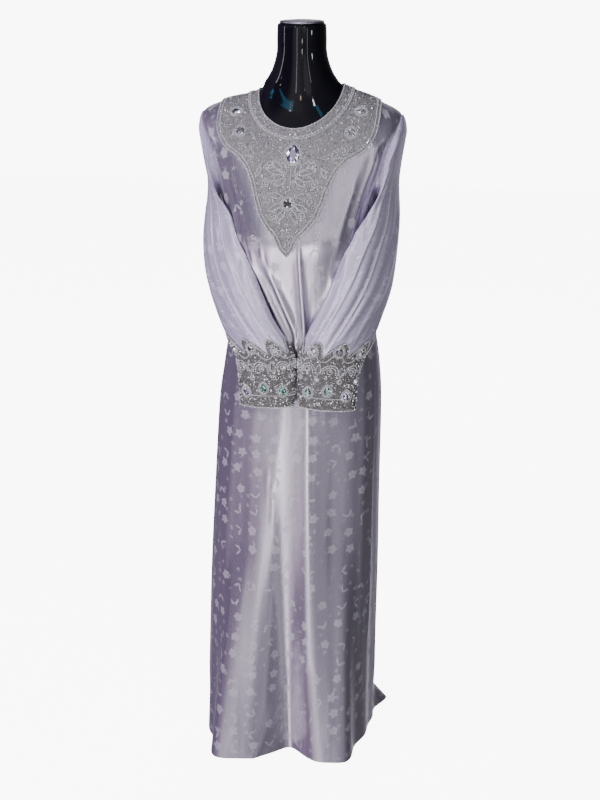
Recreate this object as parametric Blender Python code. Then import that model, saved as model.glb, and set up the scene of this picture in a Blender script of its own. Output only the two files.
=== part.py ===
"""A full-length satin kaftan dress with a beaded yoke and beaded cuffs, worn by a headless dress form.

Metres, +Z up. The front faces -Y and +X is the wearer's left. The origin is the centre of the
stand's foot, on the floor. Angles round the body are 0 at the front and 90 degrees at +X.
"""

import math
from collections import namedtuple

import bpy
import numpy as np

# Driving sizes
DRESS_LENGTH = 1.456
HEM_HEIGHT = 0.006
NECK_POINT = DRESS_LENGTH + HEM_HEIGHT
CLOTH = 0.0016
BEADED = 0.0022
SEAM = 0.0003
YOKE_GAP = 0.0007
CUFF_GAP = 0.0007
STONE_GAP = 0.0005
FOLD_RADIUS = 0.15
FOLD_FADE = 0.045

# The body of the dress is a stack of rings from the neckline to the hem. side, front and back are
# the drops below the side neck point, shift moves the ring along X, and form_gap is the clearance
# between the cloth and the form inside it.
Ring = namedtuple("Ring", "name side front back half_width front_depth back_depth shift form_gap")
RINGS = (
    Ring("neck", 0.002, 0.073, 0.016, 0.084, 0.078, 0.058, 0.000, 0.0006),
    Ring("collar", 0.015, 0.101, 0.040, 0.117, 0.092, 0.078, 0.000, 0.0008),
    Ring("shoulder", 0.029, 0.127, 0.067, 0.160, 0.102, 0.092, 0.000, 0.0008),
    Ring("shoulder_tip", 0.052, 0.157, 0.102, 0.201, 0.109, 0.100, 0.000, 0.0055),
    Ring("upper_armhole", 0.094, 0.186, 0.140, 0.198, 0.116, 0.105, 0.000, 0.0060),
    Ring("mid_armhole", 0.156, 0.224, 0.190, 0.180, 0.126, 0.107, 0.000, 0.0080),
    Ring("armpit", 0.227, 0.267, 0.247, 0.162, 0.135, 0.105, 0.000, 0.0070),
    Ring("bust", 0.290, 0.304, 0.296, 0.153, 0.137, 0.100, 0.000, 0.0040),
    Ring("under_bust", 0.376, 0.376, 0.376, 0.146, 0.121, 0.093, 0.000, 0.0050),
    Ring("waist", 0.477, 0.477, 0.477, 0.153, 0.109, 0.091, 0.001, 0.0100),
    Ring("high_hip", 0.572, 0.572, 0.572, 0.166, 0.112, 0.104, 0.000, 0.0120),
    Ring("hip", 0.662, 0.662, 0.662, 0.175, 0.118, 0.118, -0.004, 0.0150),
    Ring("thigh", 0.850, 0.850, 0.850, 0.181, 0.125, 0.125, -0.011, 0.0200),
    Ring("knee", 1.050, 1.050, 1.050, 0.187, 0.135, 0.130, -0.017, 0.0200),
    Ring("calf", 1.250, 1.250, 1.250, 0.190, 0.148, 0.138, -0.022, 0.0200),
    Ring("hem", DRESS_LENGTH, DRESS_LENGTH, DRESS_LENGTH, 0.194, 0.169, 0.151, -0.025, 0.0200),
)
RING_NUMBER = {ring.name: number for number, ring in enumerate(RINGS)}
BODY_SQUARENESS = 0.035

# How much rounder than a V the neckline is, and how much higher it is on the wearer's left
NECK_ROUNDNESS = 0.80
NECK_LEAN = 0.006

# The panels' rows outside the yoke, as ring numbers at the side, above and below the armhole
RINGS_ABOVE_ARMHOLE = (2.35,)
RINGS_BELOW_ARMHOLE = (6.8, 7.5, 8.2, 9.0, 9.8, 11.0, 12.3, 13.6, 15.0)
LEVEL_RING = 11.0
EVEN_RING = 9.0

# Armholes: how far each panel's edge is cut back from the side, in degrees round the body
ARMHOLE_FRONT_CUT = 30.0
ARMHOLE_BACK_CUT = 27.0
ARMHOLE_SPREAD = 1.5
ARMHOLE_ROOM_ABOVE = 0.35
ARMHOLE_ROOM_BELOW = 0.40
ARMHOLE_EDGE_SPREAD = 6
ARMHOLE_PULL_TOP = 1.5
ARMHOLE_PULL_BOTTOM = 8.0

# The bust is two soft mounds that the cloth spans.
Mound = namedtuple("Mound", "angle drop spread lift")
MOUNDS = (
    Mound(-29.0, 0.288, 0.058, 0.009),
    Mound(29.0, 0.288, 0.058, 0.009),
)

# Largest folds of the body: straight soft ridges (or troughs, where the lift is negative)
Fold = namedtuple("Fold", "angle_top drop_top angle_bottom drop_bottom width lift_top lift_bottom")
FOLDS = (
    Fold(-31.0, 0.350, 1.0, 0.520, 0.0105, 0.0040, 0.0065),
    Fold(-17.0, 0.360, 4.5, 0.500, 0.0095, 0.0035, 0.0055),
    Fold(5.0, 0.350, 8.0, 0.540, 0.0100, 0.0030, 0.0065),
    Fold(37.0, 0.350, 13.0, 0.520, 0.0105, 0.0040, 0.0065),
    Fold(12.0, 0.640, 23.0, DRESS_LENGTH, 0.0240, 0.0040, 0.0260),
    Fold(-16.0, 0.760, -17.0, DRESS_LENGTH, 0.0240, 0.0020, 0.0260),
    Fold(-2.0, 0.900, 7.0, DRESS_LENGTH, 0.0270, -0.0010, -0.0300),
    Fold(-33.0, 0.960, -33.0, DRESS_LENGTH, 0.0300, 0.0010, 0.0620),
    Fold(38.0, 0.960, 38.0, DRESS_LENGTH, 0.0270, 0.0010, 0.0450),
    Fold(-56.0, 0.820, -56.0, DRESS_LENGTH, 0.0290, 0.0010, 0.0100),
    Fold(76.0, 0.820, 82.0, DRESS_LENGTH, 0.0280, -0.0010, -0.0080),
    Fold(118.0, 1.385, 122.0, DRESS_LENGTH, 0.0240, 0.0000, 0.0520),
    Fold(140.0, 0.640, 143.0, DRESS_LENGTH, 0.0320, 0.0030, 0.0150),
    Fold(178.0, 0.560, 180.0, DRESS_LENGTH, 0.0340, 0.0030, 0.0170),
    Fold(216.0, 0.640, 214.0, DRESS_LENGTH, 0.0320, 0.0030, 0.0150),
    Fold(249.0, 0.800, 248.0, DRESS_LENGTH, 0.0280, 0.0010, 0.0110),
)

# Sleeves: the front edge runs from the shoulder to the centre front, where both cuffs are pinned,
# and the back edge round the elbow. Each station gives both edges, half the thickness, how far the
# section bows away from the body, how much higher its outer side is than its inner side, how far
# the pins pull the section along +X, and how much further than that its front edge lies that way.
Station = namedtuple(
    "Station",
    "name front_x front_y front_drop back_x back_y back_drop half_thick bow tilt pinned forward",
)
STATIONS = (
    Station("head", 0.176, -0.072, 0.160, 0.189, 0.067, 0.156, 0.0235, 0.005, 0.074, 0.000, 0.000),
    Station("upper", 0.169, -0.085, 0.205, 0.184, 0.068, 0.213, 0.0170, 0.006, 0.036, -0.001, 0.003),
    Station("mid_upper", 0.149, -0.104, 0.250, 0.192, 0.060, 0.272, 0.0160, 0.013, 0.012, -0.003, 0.010),
    Station("above_elbow", 0.115, -0.122, 0.302, 0.193, 0.038, 0.342, 0.0180, 0.019, 0.004, -0.004, 0.006),
    Station("elbow", 0.083, -0.132, 0.370, 0.188, 0.004, 0.406, 0.0205, 0.020, 0.000, -0.003, 0.005),
    Station("forearm", 0.047, -0.137, 0.442, 0.172, -0.040, 0.456, 0.0210, 0.018, 0.000, 0.001, 0.002),
    Station("lower", 0.021, -0.140, 0.486, 0.153, -0.078, 0.496, 0.0215, 0.015, 0.000, 0.007, 0.000),
    Station("above_wrist", 0.007, -0.141, 0.521, 0.131, -0.105, 0.534, 0.0195, 0.009, 0.000, 0.011, 0.000),
    Station("wrist", 0.005, -0.141, 0.557, 0.122, -0.123, 0.570, 0.0180, 0.005, 0.000, 0.011, 0.000),
    Station("cuff_end", 0.007, -0.141, 0.630, 0.118, -0.128, 0.636, 0.0165, 0.004, 0.000, 0.011, 0.000),
)
STATION_NUMBER = {station.name: 1 + number for number, station in enumerate(STATIONS)}
SLEEVE_COLUMNS = 24
SLEEVE_ROWS = (
    0.00, 0.25, 0.50, 0.80, 1.15, 1.60, 2.10, 2.65, 3.20,
    3.80, 4.40, 5.00, 5.70, 6.30, 6.90, 8.10, 9.00, 10.0,
)
SLEEVE_EDGE_SHARPNESS = 0.85
SLEEVE_LEAD = 0.015
SLEEVE_LEAD_ROWS = 0.20

# Long soft folds on the outer face of a sleeve; across runs from -1, the back edge, to 1, the front.
SleeveFold = namedtuple("SleeveFold", "across_top across_bottom row_top row_bottom width lift")
SLEEVE_FOLDS = (
    SleeveFold(0.62, 0.55, 3.0, 7.4, 0.13, 0.0050),
    SleeveFold(0.15, 0.20, 2.4, 7.2, 0.14, 0.0055),
    SleeveFold(-0.32, -0.18, 2.8, 7.2, 0.14, 0.0050),
)

# The beaded yoke's outer edge: degrees from the middle of a panel, and the ring number reached.
# The panels' columns stand at the same places, so the yoke lies on their own points.
YokeEdge = namedtuple("YokeEdge", "place reach")
YOKE_FRONT = (
    YokeEdge(0.0, 7.25),
    YokeEdge(5.4, 7.00),
    YokeEdge(9.8, 6.35),
    YokeEdge(16.6, 5.90),
    YokeEdge(22.8, 5.50),
    YokeEdge(26.8, 4.90),
    YokeEdge(28.3, 4.10),
    YokeEdge(30.2, 3.40),
    YokeEdge(35.5, 3.08),
    YokeEdge(47.0, 3.08),
    YokeEdge(56.0, 2.78),
    YokeEdge(65.0, 2.42),
    YokeEdge(73.0, 2.20),
    YokeEdge(81.5, 2.08),
    YokeEdge(90.0, 1.97),
)
YOKE_BACK = (
    YokeEdge(0.0, 0.80),
    YokeEdge(10.0, 0.80),
    YokeEdge(20.0, 0.81),
    YokeEdge(30.0, 0.82),
    YokeEdge(40.0, 0.84),
    YokeEdge(50.0, 0.88),
    YokeEdge(60.0, 0.97),
    YokeEdge(70.0, 1.15),
    YokeEdge(80.0, 1.50),
    YokeEdge(90.0, 1.97),
)
YOKE_ROWS = 7
YOKE_LEAN = -3.5

# The beaded cuffs reach from the sleeve's end up to a lobed top edge.
CUFF_COLUMNS = 48
CUFF_STRAIGHT_ROWS = (8.10, 9.00, 9.97)
CUFF_TOP = 7.78
CUFF_LOBE = 0.84
CUFF_LOBES = 8

# Set stones: outline width and height, how high they stand, and their place
Stone = namedtuple("Stone", "name place_a place_b width height stand pointed")
YOKE_STONES = (
    Stone("stone_yoke_upper_drop", 0.0, 1.75, 0.026, 0.036, 0.0062, True),
    Stone("stone_yoke_lower_round", 0.0, 4.75, 0.018, 0.018, 0.0060, False),
    Stone("stone_yoke_inner_left", 44.0, 1.85, 0.016, 0.016, 0.0048, False),
    Stone("stone_yoke_inner_right", -44.0, 1.85, 0.016, 0.016, 0.0048, False),
    Stone("stone_yoke_outer_left", 64.0, 1.45, 0.014, 0.018, 0.0048, True),
    Stone("stone_yoke_outer_right", -64.0, 1.45, 0.014, 0.018, 0.0048, True),
)
CUFF_STONES = (
    Stone("lobe_a", -46.0, 7.50, 0.014, 0.017, 0.0050, True),
    Stone("lobe_b", 0.0, 7.42, 0.014, 0.017, 0.0050, True),
    Stone("lobe_c", 46.0, 7.50, 0.014, 0.017, 0.0050, True),
    Stone("row_a", -42.0, 9.45, 0.013, 0.018, 0.0050, True),
    Stone("row_b", 0.0, 9.35, 0.013, 0.018, 0.0050, True),
    Stone("row_c", 42.0, 9.45, 0.013, 0.018, 0.0050, True),
)
YOKE_RING_HEIGHT = 0.030
CUFF_ROW_HEIGHT = 0.060
CUFF_HALF_WIDTH = 0.050
STONE_SIDES = 10
STONE_TABLE = 0.55
STONE_SEAT = 0.80

# Dress form: neck rings above the neckline (drop below the neck point is negative above it)
FormRing = namedtuple("FormRing", "side front back half_width half_depth")
FORM_NECK = (
    FormRing(-0.121, -0.121, -0.121, 0.0465, 0.0465),
    FormRing(-0.116, -0.116, -0.116, 0.0485, 0.0485),
    FormRing(-0.094, -0.094, -0.094, 0.0495, 0.0495),
    FormRing(-0.068, -0.066, -0.068, 0.0500, 0.0500),
    FormRing(-0.045, -0.030, -0.048, 0.0555, 0.0520),
    FormRing(-0.027, 0.008, -0.027, 0.0630, 0.0560),
    FormRing(-0.010, 0.046, -0.004, 0.0740, 0.0640),
)
FORM_ROWS = (0, 1, 2, 3, 4, 5, 6, 7, 8, 9, 12, 15, 18, 21, 22, 23, 24, 25, 26, 27)
FormEnd = namedtuple("FormEnd", "scale fall")
FORM_ENDS = (FormEnd(0.93, 0.014), FormEnd(0.78, 0.026), FormEnd(0.45, 0.033))
CAP_RADIUS = 0.0440
CAP_THICKNESS = 0.005
CAP_DOME = 0.0025
POLE_RADIUS = 0.0125
FOOT_RADIUS = 0.120
FOOT_THICKNESS = 0.008
FOOT_HUB_RADIUS = 0.024
FOOT_HUB_HEIGHT = 0.034
ROUND_SIDES = 24

SATIN = ("satin_lilac", (0.56, 0.52, 0.62), 0.34, 0.0)
BEADWORK = ("beadwork", (0.50, 0.49, 0.48), 0.35, 0.6)
CRYSTAL = ("crystal", (0.72, 0.74, 0.80), 0.10, 0.2)
GLOSS_BLACK = ("form_gloss_black", (0.010, 0.010, 0.012), 0.12, 0.0)
CAP_METAL = ("cap_metal", (0.62, 0.61, 0.66), 0.30, 0.8)
STEEL = ("stand_steel", (0.55, 0.56, 0.58), 0.28, 1.0)


def curve_through(values, position):
    """Value at a fractional row of a table's column, on a smooth curve through its rows."""
    values = np.asarray(values, float)
    last = len(values) - 1
    position = np.clip(np.asarray(position, float), 0, last)
    row = np.minimum(np.floor(position).astype(int), last - 1)
    t = position - row
    before, start, end = values[np.maximum(row - 1, 0)], values[row], values[row + 1]
    after = values[np.minimum(row + 2, last)]
    slope_in, slope_out = (end - before) / 2, (after - start) / 2
    return (
        start * (2 * t**3 - 3 * t**2 + 1)
        + slope_in * (t**3 - 2 * t**2 + t)
        + end * (3 * t**2 - 2 * t**3)
        + slope_out * (t**3 - t**2)
    )


def column(table, name):
    """One named column of a table."""
    return [getattr(row, name) for row in table]


def ease(t):
    """0 before 0, 1 after 1 and smooth between."""
    t = np.clip(t, 0, 1)
    return t * t * (3 - 2 * t)


def turn_between(angle, centre):
    """Signed difference of two angles in degrees, from -180 to 180."""
    return (angle - centre + 180) % 360 - 180


def fold_lift(angle, drop):
    """How far the folds and the bust move the cloth outwards at an angle in degrees and a drop."""
    lift = np.zeros_like(angle * drop)
    for fold in FOLDS:
        length = fold.drop_bottom - fold.drop_top
        along = (drop - fold.drop_top) / length
        held = np.clip(along, 0, 1)
        line = fold.angle_top + (fold.angle_bottom - fold.angle_top) * held
        height = fold.lift_top + (fold.lift_bottom - fold.lift_top) * held
        across = np.radians(turn_between(angle, line)) * FOLD_RADIUS / fold.width
        past_end = np.abs(along - held) * length / FOLD_FADE
        lift = lift + height * np.exp(-(across**2) - past_end**2)
    for mound in MOUNDS:
        across = np.radians(turn_between(angle, mound.angle)) * FOLD_RADIUS / mound.spread
        along = (drop - mound.drop) / mound.spread
        lift = lift + mound.lift * np.exp(-(across**2) - along**2)
    return lift


def body_points(angle, ring, folded=True):
    """Points of the dress's outer face at angles in degrees and fractional ring numbers."""
    angle, ring = np.broadcast_arrays(np.asarray(angle, float), np.asarray(ring, float))
    turn = np.radians(angle)
    facing, sideways = np.cos(turn), np.sin(turn)
    at = {name: curve_through(column(RINGS, name), ring) for name in Ring._fields[1:8]}
    is_front = facing > 0
    depth = np.where(is_front, at["front_depth"], at["back_depth"])
    near_neck = 1 - ease(ring / RING_NUMBER["shoulder_tip"])
    power = np.where(is_front, 2 - NECK_ROUNDNESS * near_neck, 2)
    drop = at["side"] + (np.where(is_front, at["front"], at["back"]) - at["side"]) * abs(facing) ** power
    drop = drop - NECK_LEAN * near_neck * sideways
    corner = 1 + BODY_SQUARENESS * np.sin(2 * turn) ** 2
    lift = fold_lift(angle, drop) if folded else 0.0
    x = at["shift"] + (at["half_width"] * corner + lift) * sideways
    y = -(depth * corner + lift) * facing
    return np.stack([x, y, NECK_POINT - drop], axis=-1)


def body_grid(angles, rings, out, folded=True):
    """Body points moved out along the surface's normal."""
    step = 0.4
    here = body_points(angles, rings, folded)
    around = body_points(angles + step, rings, folded) - body_points(angles - step, rings, folded)
    rise = 0.02
    low = np.minimum(rings + rise, len(RINGS) - 1)
    high = np.maximum(rings - rise, 0)
    down = body_points(angles, low, folded) - body_points(angles, high, folded)
    normal = np.cross(down, around)
    normal = normal / np.linalg.norm(normal, axis=-1, keepdims=True)
    return here + normal * np.asarray(out, float)[..., None]


def add_object(name, points, faces, finish, smooth_angle=38.0):
    """A named object from points and faces, with its own material, shaded smooth."""
    mesh = bpy.data.meshes.new(name)
    mesh.from_pydata([tuple(map(float, p)) for p in points], [], faces)
    mesh.validate()
    mesh.update()
    mesh.shade_smooth()
    mesh.set_sharp_from_angle(angle=math.radians(smooth_angle))
    material = bpy.data.materials.get(finish[0]) or bpy.data.materials.new(finish[0])
    material.use_nodes = True
    shader = material.node_tree.nodes["Principled BSDF"]
    shader.inputs["Base Color"].default_value = (*finish[1], 1.0)
    shader.inputs["Roughness"].default_value = finish[2]
    shader.inputs["Metallic"].default_value = finish[3]
    mesh.materials.append(material)
    made = bpy.data.objects.new(name, mesh)
    bpy.context.scene.collection.objects.link(made)
    return made


def mirrored_slants(columns):
    """Which way the diagonals of a panel's cells slant: mirrored about its middle column."""
    return [col < columns // 2 for col in range(columns)]


def grid_faces(rows, columns, closed, first, flipped, slants=None):
    """Triangles between the rows and columns of a grid whose points start at number first."""
    faces = []
    for row in range(rows - 1):
        for col in range(columns if closed else columns - 1):
            after = (col + 1) % columns
            a = first + row * columns + col
            b = first + row * columns + after
            c = first + (row + 1) * columns + after
            d = first + (row + 1) * columns + col
            pair = [(a, d, b), (b, d, c)] if slants and slants[col] else [(a, d, c), (a, c, b)]
            faces += [tri[::-1] for tri in pair] if flipped else pair
    return faces


def add_wall(name, outer, inner, finish, closed, turned=False, slants=None):
    """A cloth wall between an outer and an inner grid: a sheet, or a tube if closed."""
    rows, columns = outer.shape[:2]
    count = rows * columns
    points = np.concatenate([outer.reshape(-1, 3), inner.reshape(-1, 3)])
    faces = grid_faces(rows, columns, closed, 0, False, slants)
    faces += grid_faces(rows, columns, closed, count, True, slants)
    number = np.arange(count).reshape(rows, columns)
    rims = [(number[0], False), (number[-1], True)]
    if not closed:
        rims += [(number[:, 0], True), (number[:, -1], False)]
    for rim, reverse in rims:
        run = [int(point) for point in rim] + ([int(rim[0])] if closed else [])
        for a, b in zip(run, run[1:]):
            pair = [(a, b, b + count), (a, b + count, a + count)]
            faces += [tri[::-1] for tri in pair] if reverse else pair
    if turned:
        faces = [tri[::-1] for tri in faces]
    return add_object(name, points, faces, finish)


def ring_turns(count):
    """Equal turns round a tube, in radians."""
    return np.linspace(0, 2 * math.pi, count, endpoint=False)


def armhole_rings(turn):
    """Ring number at a turn round an armhole, from its top through the front to its bottom."""
    top, bottom = RING_NUMBER["shoulder_tip"], RING_NUMBER["armpit"]
    return top + (bottom - top) * (1 - np.cos(turn)) / 2


def armhole_cut(ring, reach):
    """How many degrees a panel's edge is cut back from the side at a ring number."""
    top, bottom = RING_NUMBER["shoulder_tip"], RING_NUMBER["armpit"]
    share = np.clip((ring - top) / (bottom - top), 0, 1)
    return reach * 2 * np.sqrt(share * (1 - share))


def mirrored(half, name):
    """A column of a half outline, run from the far side through the middle to this side."""
    values = np.array(column(half, name))
    sign = -1 if name == "place" else 1
    return np.concatenate([sign * values[:0:-1], values])


def panel_grid(half, cut, lean):
    """Degrees from a panel's middle and ring numbers of its points, rows from neckline to hem."""
    place, reach = mirrored(half, "place"), mirrored(half, "reach")
    side_reach = half[-1].reach
    even = np.linspace(-90, 90, len(place))
    turns = ring_turns(SLEEVE_COLUMNS)[: SLEEVE_COLUMNS // 2 + 1]
    first, last = armhole_rings(turns[[0, -1]]) + (-ARMHOLE_ROOM_ABOVE, ARMHOLE_ROOM_BELOW)
    side_rows = [(ring, ring) for ring in RINGS_ABOVE_ARMHOLE]
    side_rows += zip(armhole_rings(turns), first + (last - first) * turns / math.pi)
    side_rows += [(ring, ring) for ring in RINGS_BELOW_ARMHOLE]
    rows = [(reach * k / YOKE_ROWS, place) for k in range(YOKE_ROWS + 1)]
    for at_side, at_middle in side_rows:
        ring = at_middle + (at_side - at_middle) * (place / 90) ** ARMHOLE_EDGE_SPREAD
        held = np.clip((LEVEL_RING - ring) / (LEVEL_RING - side_reach), 0, 1)
        spread = ease((ring - side_reach) / (EVEN_RING - side_reach))
        rows.append((ring + (reach - side_reach) * held, place + (even - place) * spread))
    rings, places = (np.array(part) for part in zip(*rows))
    near_edge = (places / 90) ** ARMHOLE_EDGE_SPREAD
    pulled = np.clip((rings - ARMHOLE_PULL_TOP) / (ARMHOLE_PULL_BOTTOM - ARMHOLE_PULL_TOP), 0, 1)
    pull = cut * np.sin(math.pi * pulled) ** 2
    pull = pull + (armhole_cut(rings, cut) - pull) * near_edge
    angles = places - pull * np.sign(places) * np.abs(places / 90) ** ARMHOLE_SPREAD
    swing = lean * ease(rings / half[0].reach) * (1 - ease((rings - half[0].reach) / 4))
    return angles + swing * np.cos(np.radians(places)), rings


def seam_angle(ring):
    """Degrees that half a seam's gap takes at the side, at a ring number."""
    pair = body_points(90.5, ring, False) - body_points(89.5, ring, False)
    return SEAM / 2 / np.linalg.norm(pair, axis=-1)


def add_panel(name, middle, half, cut, lean):
    """The front or back panel, round its middle angle, from neckline to hem and side to side."""
    angles, rings = panel_grid(half, cut, lean)
    angles[:, 0] += seam_angle(rings[:, 0])
    angles[:, -1] -= seam_angle(rings[:, -1])
    outer = body_grid(middle + angles, rings, 0.0)
    inner = body_grid(middle + angles, rings, -CLOTH)
    inner[-1, :, 2] = outer[-1, :, 2]
    slants = mirrored_slants(len(angles[0]) - 1)
    return add_wall(name, outer, inner, SATIN, closed=False, slants=slants)


def armhole_loop(turn, out):
    """The +X armhole as a loop a seam's gap inside the panels' edges, moved out by a distance."""
    rings = armhole_rings(turn)
    to_front = np.sin(turn) > 0
    cut = armhole_cut(rings, np.where(to_front, ARMHOLE_FRONT_CUT, ARMHOLE_BACK_CUT))
    angles = 90 - np.where(to_front, cut, -cut)
    points = body_grid(angles, rings, 0.0)
    out_way = body_grid(angles, rings, 1.0) - points
    inwards = np.array(points.reshape(-1, 3).mean(axis=0)) - points
    inwards = inwards - out_way * (inwards * out_way).sum(axis=-1, keepdims=True)
    inwards = inwards / np.linalg.norm(inwards, axis=-1, keepdims=True)
    return points + inwards * SEAM + out_way * np.asarray(out)[..., None]


def sleeve_fold_lift(across, outer_share, row):
    """How far the sleeve's folds lift its outer face."""
    lift = np.zeros_like(across * row)
    for fold in SLEEVE_FOLDS:
        along = np.clip((row - fold.row_top) / (fold.row_bottom - fold.row_top), 0, 1)
        line = fold.across_top + (fold.across_bottom - fold.across_top) * along
        ends = np.sin(math.pi * along) ** 0.7
        lift = lift + fold.lift * ends * np.exp(-(((across - line) / fold.width) ** 2))
    return lift * ease(outer_share * 2)


def sleeve_section(turn, row):
    """Points of a sleeve's free sections on the +X side, without the pinned shift."""
    at = {
        name: curve_through(column(STATIONS, name), np.maximum(row - 1, 0))
        for name in Station._fields[1:10]
    }
    across, outwards = np.sin(turn), np.cos(turn)
    depth = np.sign(outwards) * np.abs(outwards) ** SLEEVE_EDGE_SHARPNESS
    front = np.stack([at["front_x"], at["front_y"], NECK_POINT - at["front_drop"]], axis=-1)
    back = np.stack([at["back_x"], at["back_y"], NECK_POINT - at["back_drop"]], axis=-1)
    half = (front - back) / 2
    out = np.stack([-half[..., 1], half[..., 0], np.zeros_like(half[..., 0])], axis=-1)
    out = out / np.linalg.norm(out, axis=-1, keepdims=True)
    push = at["half_thick"] * depth + at["bow"] * (1 - across**2)
    push = push + sleeve_fold_lift(across, outwards, row)
    points = (front + back) / 2 + half * across[..., None] + out * push[..., None]
    points[..., 2] += at["tilt"] * outwards
    return points


def sleeve_points(turns, rows, side):
    """Points of a sleeve's outer face, for side +1 or -1, at turns in radians and row numbers."""
    turn, row = np.broadcast_arrays(turns[None, :], np.asarray(rows, float).reshape(len(rows), -1))
    section = sleeve_section(turn, np.maximum(row, 1.0))
    loop = armhole_loop(turn, SLEEVE_LEAD * np.minimum(row, 1.0) - CLOTH)
    share = ease((row - SLEEVE_LEAD_ROWS) / (1 - SLEEVE_LEAD_ROWS))[..., None]
    points = loop * (1 - share) + section * share
    pinned = curve_through(column(STATIONS, "pinned"), np.maximum(row - 1, 0))
    forward = curve_through(column(STATIONS, "forward"), np.maximum(row - 1, 0))
    front_share = ((1 + np.sin(turn)) / 2) ** 1.5 * np.minimum(row, 1.0)
    points[..., 0] = points[..., 0] * side + pinned + forward * front_share
    return points


def sleeve_normals(turns, rows, side):
    """Unit normals of the sleeve's outer face, by small steps along it."""
    step_row, step_turn = 0.02, 0.02
    rows = np.asarray(rows, float).reshape(len(rows), -1)
    last = STATION_NUMBER["cuff_end"]
    down = sleeve_points(turns, np.minimum(rows + step_row, last), side) - sleeve_points(
        turns, np.maximum(rows - step_row, 0), side
    )
    around = sleeve_points(turns + step_turn, rows, side) - sleeve_points(turns - step_turn, rows, side)
    normal = np.cross(down, around) * -side
    return normal / np.linalg.norm(normal, axis=-1, keepdims=True)


def sleeve_grid(side):
    """The sleeve's outer points and normals at its own rows and columns."""
    turns = ring_turns(SLEEVE_COLUMNS)
    rows = [[row] for row in SLEEVE_ROWS]
    return sleeve_points(turns, rows, side), sleeve_normals(turns, rows, side)


def on_facets(grid, row_at, column_at):
    """Values between the rows and columns of a closed grid, straight across its facets."""
    count, columns = grid.shape[:2]
    row = np.minimum(np.floor(row_at).astype(int), count - 2)
    col = np.floor(column_at).astype(int)
    down, over = (row_at - row)[..., None], (column_at - col)[..., None]
    col, after = col % columns, (col + 1) % columns
    start, far = grid[row, col], grid[row + 1, after]
    below, beside = grid[row + 1, col], grid[row, after]
    lower = start + down * (below - start) + over * (far - below)
    upper = start + over * (beside - start) + down * (far - beside)
    return np.where(down >= over, lower, upper)


def on_sleeve(side, turns, rows, out):
    """Points over a sleeve's own facets, moved out, and the normals there."""
    points, normals = sleeve_grid(side)
    row_at = np.interp(rows, SLEEVE_ROWS, np.arange(len(SLEEVE_ROWS)))
    column_at = np.broadcast_to(turns / (2 * math.pi) * SLEEVE_COLUMNS, row_at.shape)
    normal = on_facets(normals, row_at, column_at)
    normal = normal / np.linalg.norm(normal, axis=-1, keepdims=True)
    return on_facets(points, row_at, column_at) + normal * out, normal


def add_sleeve(name, side):
    """A sleeve, open at the armhole and at the cuff."""
    points, normals = sleeve_grid(side)
    return add_wall(name, points, points - normals * CLOTH, SATIN, closed=True, turned=side > 0)


def add_cuff(name, side):
    """A cuff's beadwork: a lobed top edge that runs out to the straight end of the sleeve."""
    turns = ring_turns(CUFF_COLUMNS)
    top = CUFF_TOP - CUFF_LOBE * np.abs(np.cos(CUFF_LOBES / 2 * turns)) ** 0.8
    rows = np.array([top] + [np.full_like(top, row) for row in CUFF_STRAIGHT_ROWS])
    outer, _ = on_sleeve(side, turns, rows, CUFF_GAP + BEADED)
    inner, _ = on_sleeve(side, turns, rows, CUFF_GAP)
    return add_wall(name, outer, inner, BEADWORK, closed=True, turned=side > 0)


def round_grid(front_cut, back_cut):
    """Both panels' angles and ring numbers joined into one closed grid, and its slants."""
    front, front_rings = panel_grid(YOKE_FRONT, front_cut, YOKE_LEAN)
    back, back_rings = panel_grid(YOKE_BACK, back_cut, 0.0)
    angles = np.concatenate([front, 180 + back[:, 1:-1]], axis=1)
    rings = np.concatenate([front_rings, back_rings[:, 1:-1]], axis=1)
    slants = mirrored_slants(front.shape[1] - 1) + mirrored_slants(back.shape[1] - 1)
    return angles, rings, slants


def add_yoke():
    """The beaded yoke: a closed band round the neckline that runs down to a point in front."""
    angles, rings, slants = round_grid(ARMHOLE_FRONT_CUT, ARMHOLE_BACK_CUT)
    angles, rings = angles[: YOKE_ROWS + 1], rings[: YOKE_ROWS + 1]
    outer = body_grid(angles, rings, YOKE_GAP + BEADED)
    inner = body_grid(angles, rings, YOKE_GAP)
    return add_wall("beaded_yoke", outer, inner, BEADWORK, closed=True, slants=slants)


def stone_shape(stone):
    """Points and faces of a faceted stone in its own frame: X across, Y up the cloth, Z out."""
    points = []
    levels = ((STONE_SEAT, 0.0), (1.0, 0.35), (STONE_TABLE, 1.0))
    for scale, level in levels:
        for k in range(STONE_SIDES):
            turn = 2 * math.pi * k / STONE_SIDES
            narrow = 1 - 0.45 * max(0.0, math.cos(turn)) ** 2 if stone.pointed else 1.0
            x = stone.width / 2 * math.sin(turn) * narrow
            y = stone.height / 2 * math.cos(turn)
            points.append((x * scale, y * scale, stone.stand * level))
    n = STONE_SIDES
    faces = [tuple(reversed(range(n))), tuple(range(2 * n, 3 * n))]
    for level in range(2):
        for k in range(n):
            a, b = level * n + k, level * n + (k + 1) % n
            faces.append((a, b, b + n, a + n))
    return points, [face[::-1] for face in faces]


def add_stone(name, stone, patch):
    """A stone seated over the middle of a patch of beadwork, rows downwards and columns across."""
    rows, columns = patch.shape[:2]
    middle = patch[rows // 2, columns // 2]
    up = patch[0, columns // 2] - patch[-1, columns // 2]
    out = np.cross(patch[rows // 2, -1] - patch[rows // 2, 0], up)
    out = out / np.linalg.norm(out)
    across = np.cross(up, out)
    across = across / np.linalg.norm(across)
    up = np.cross(out, across)
    highest = float(((patch - middle) @ out).max())
    seat = middle + out * (highest + STONE_GAP)
    points, faces = stone_shape(stone)
    placed = [seat + across * x + up * y + out * z for x, y, z in points]
    add_object(name, placed, faces, CRYSTAL, smooth_angle=12.0)


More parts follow.
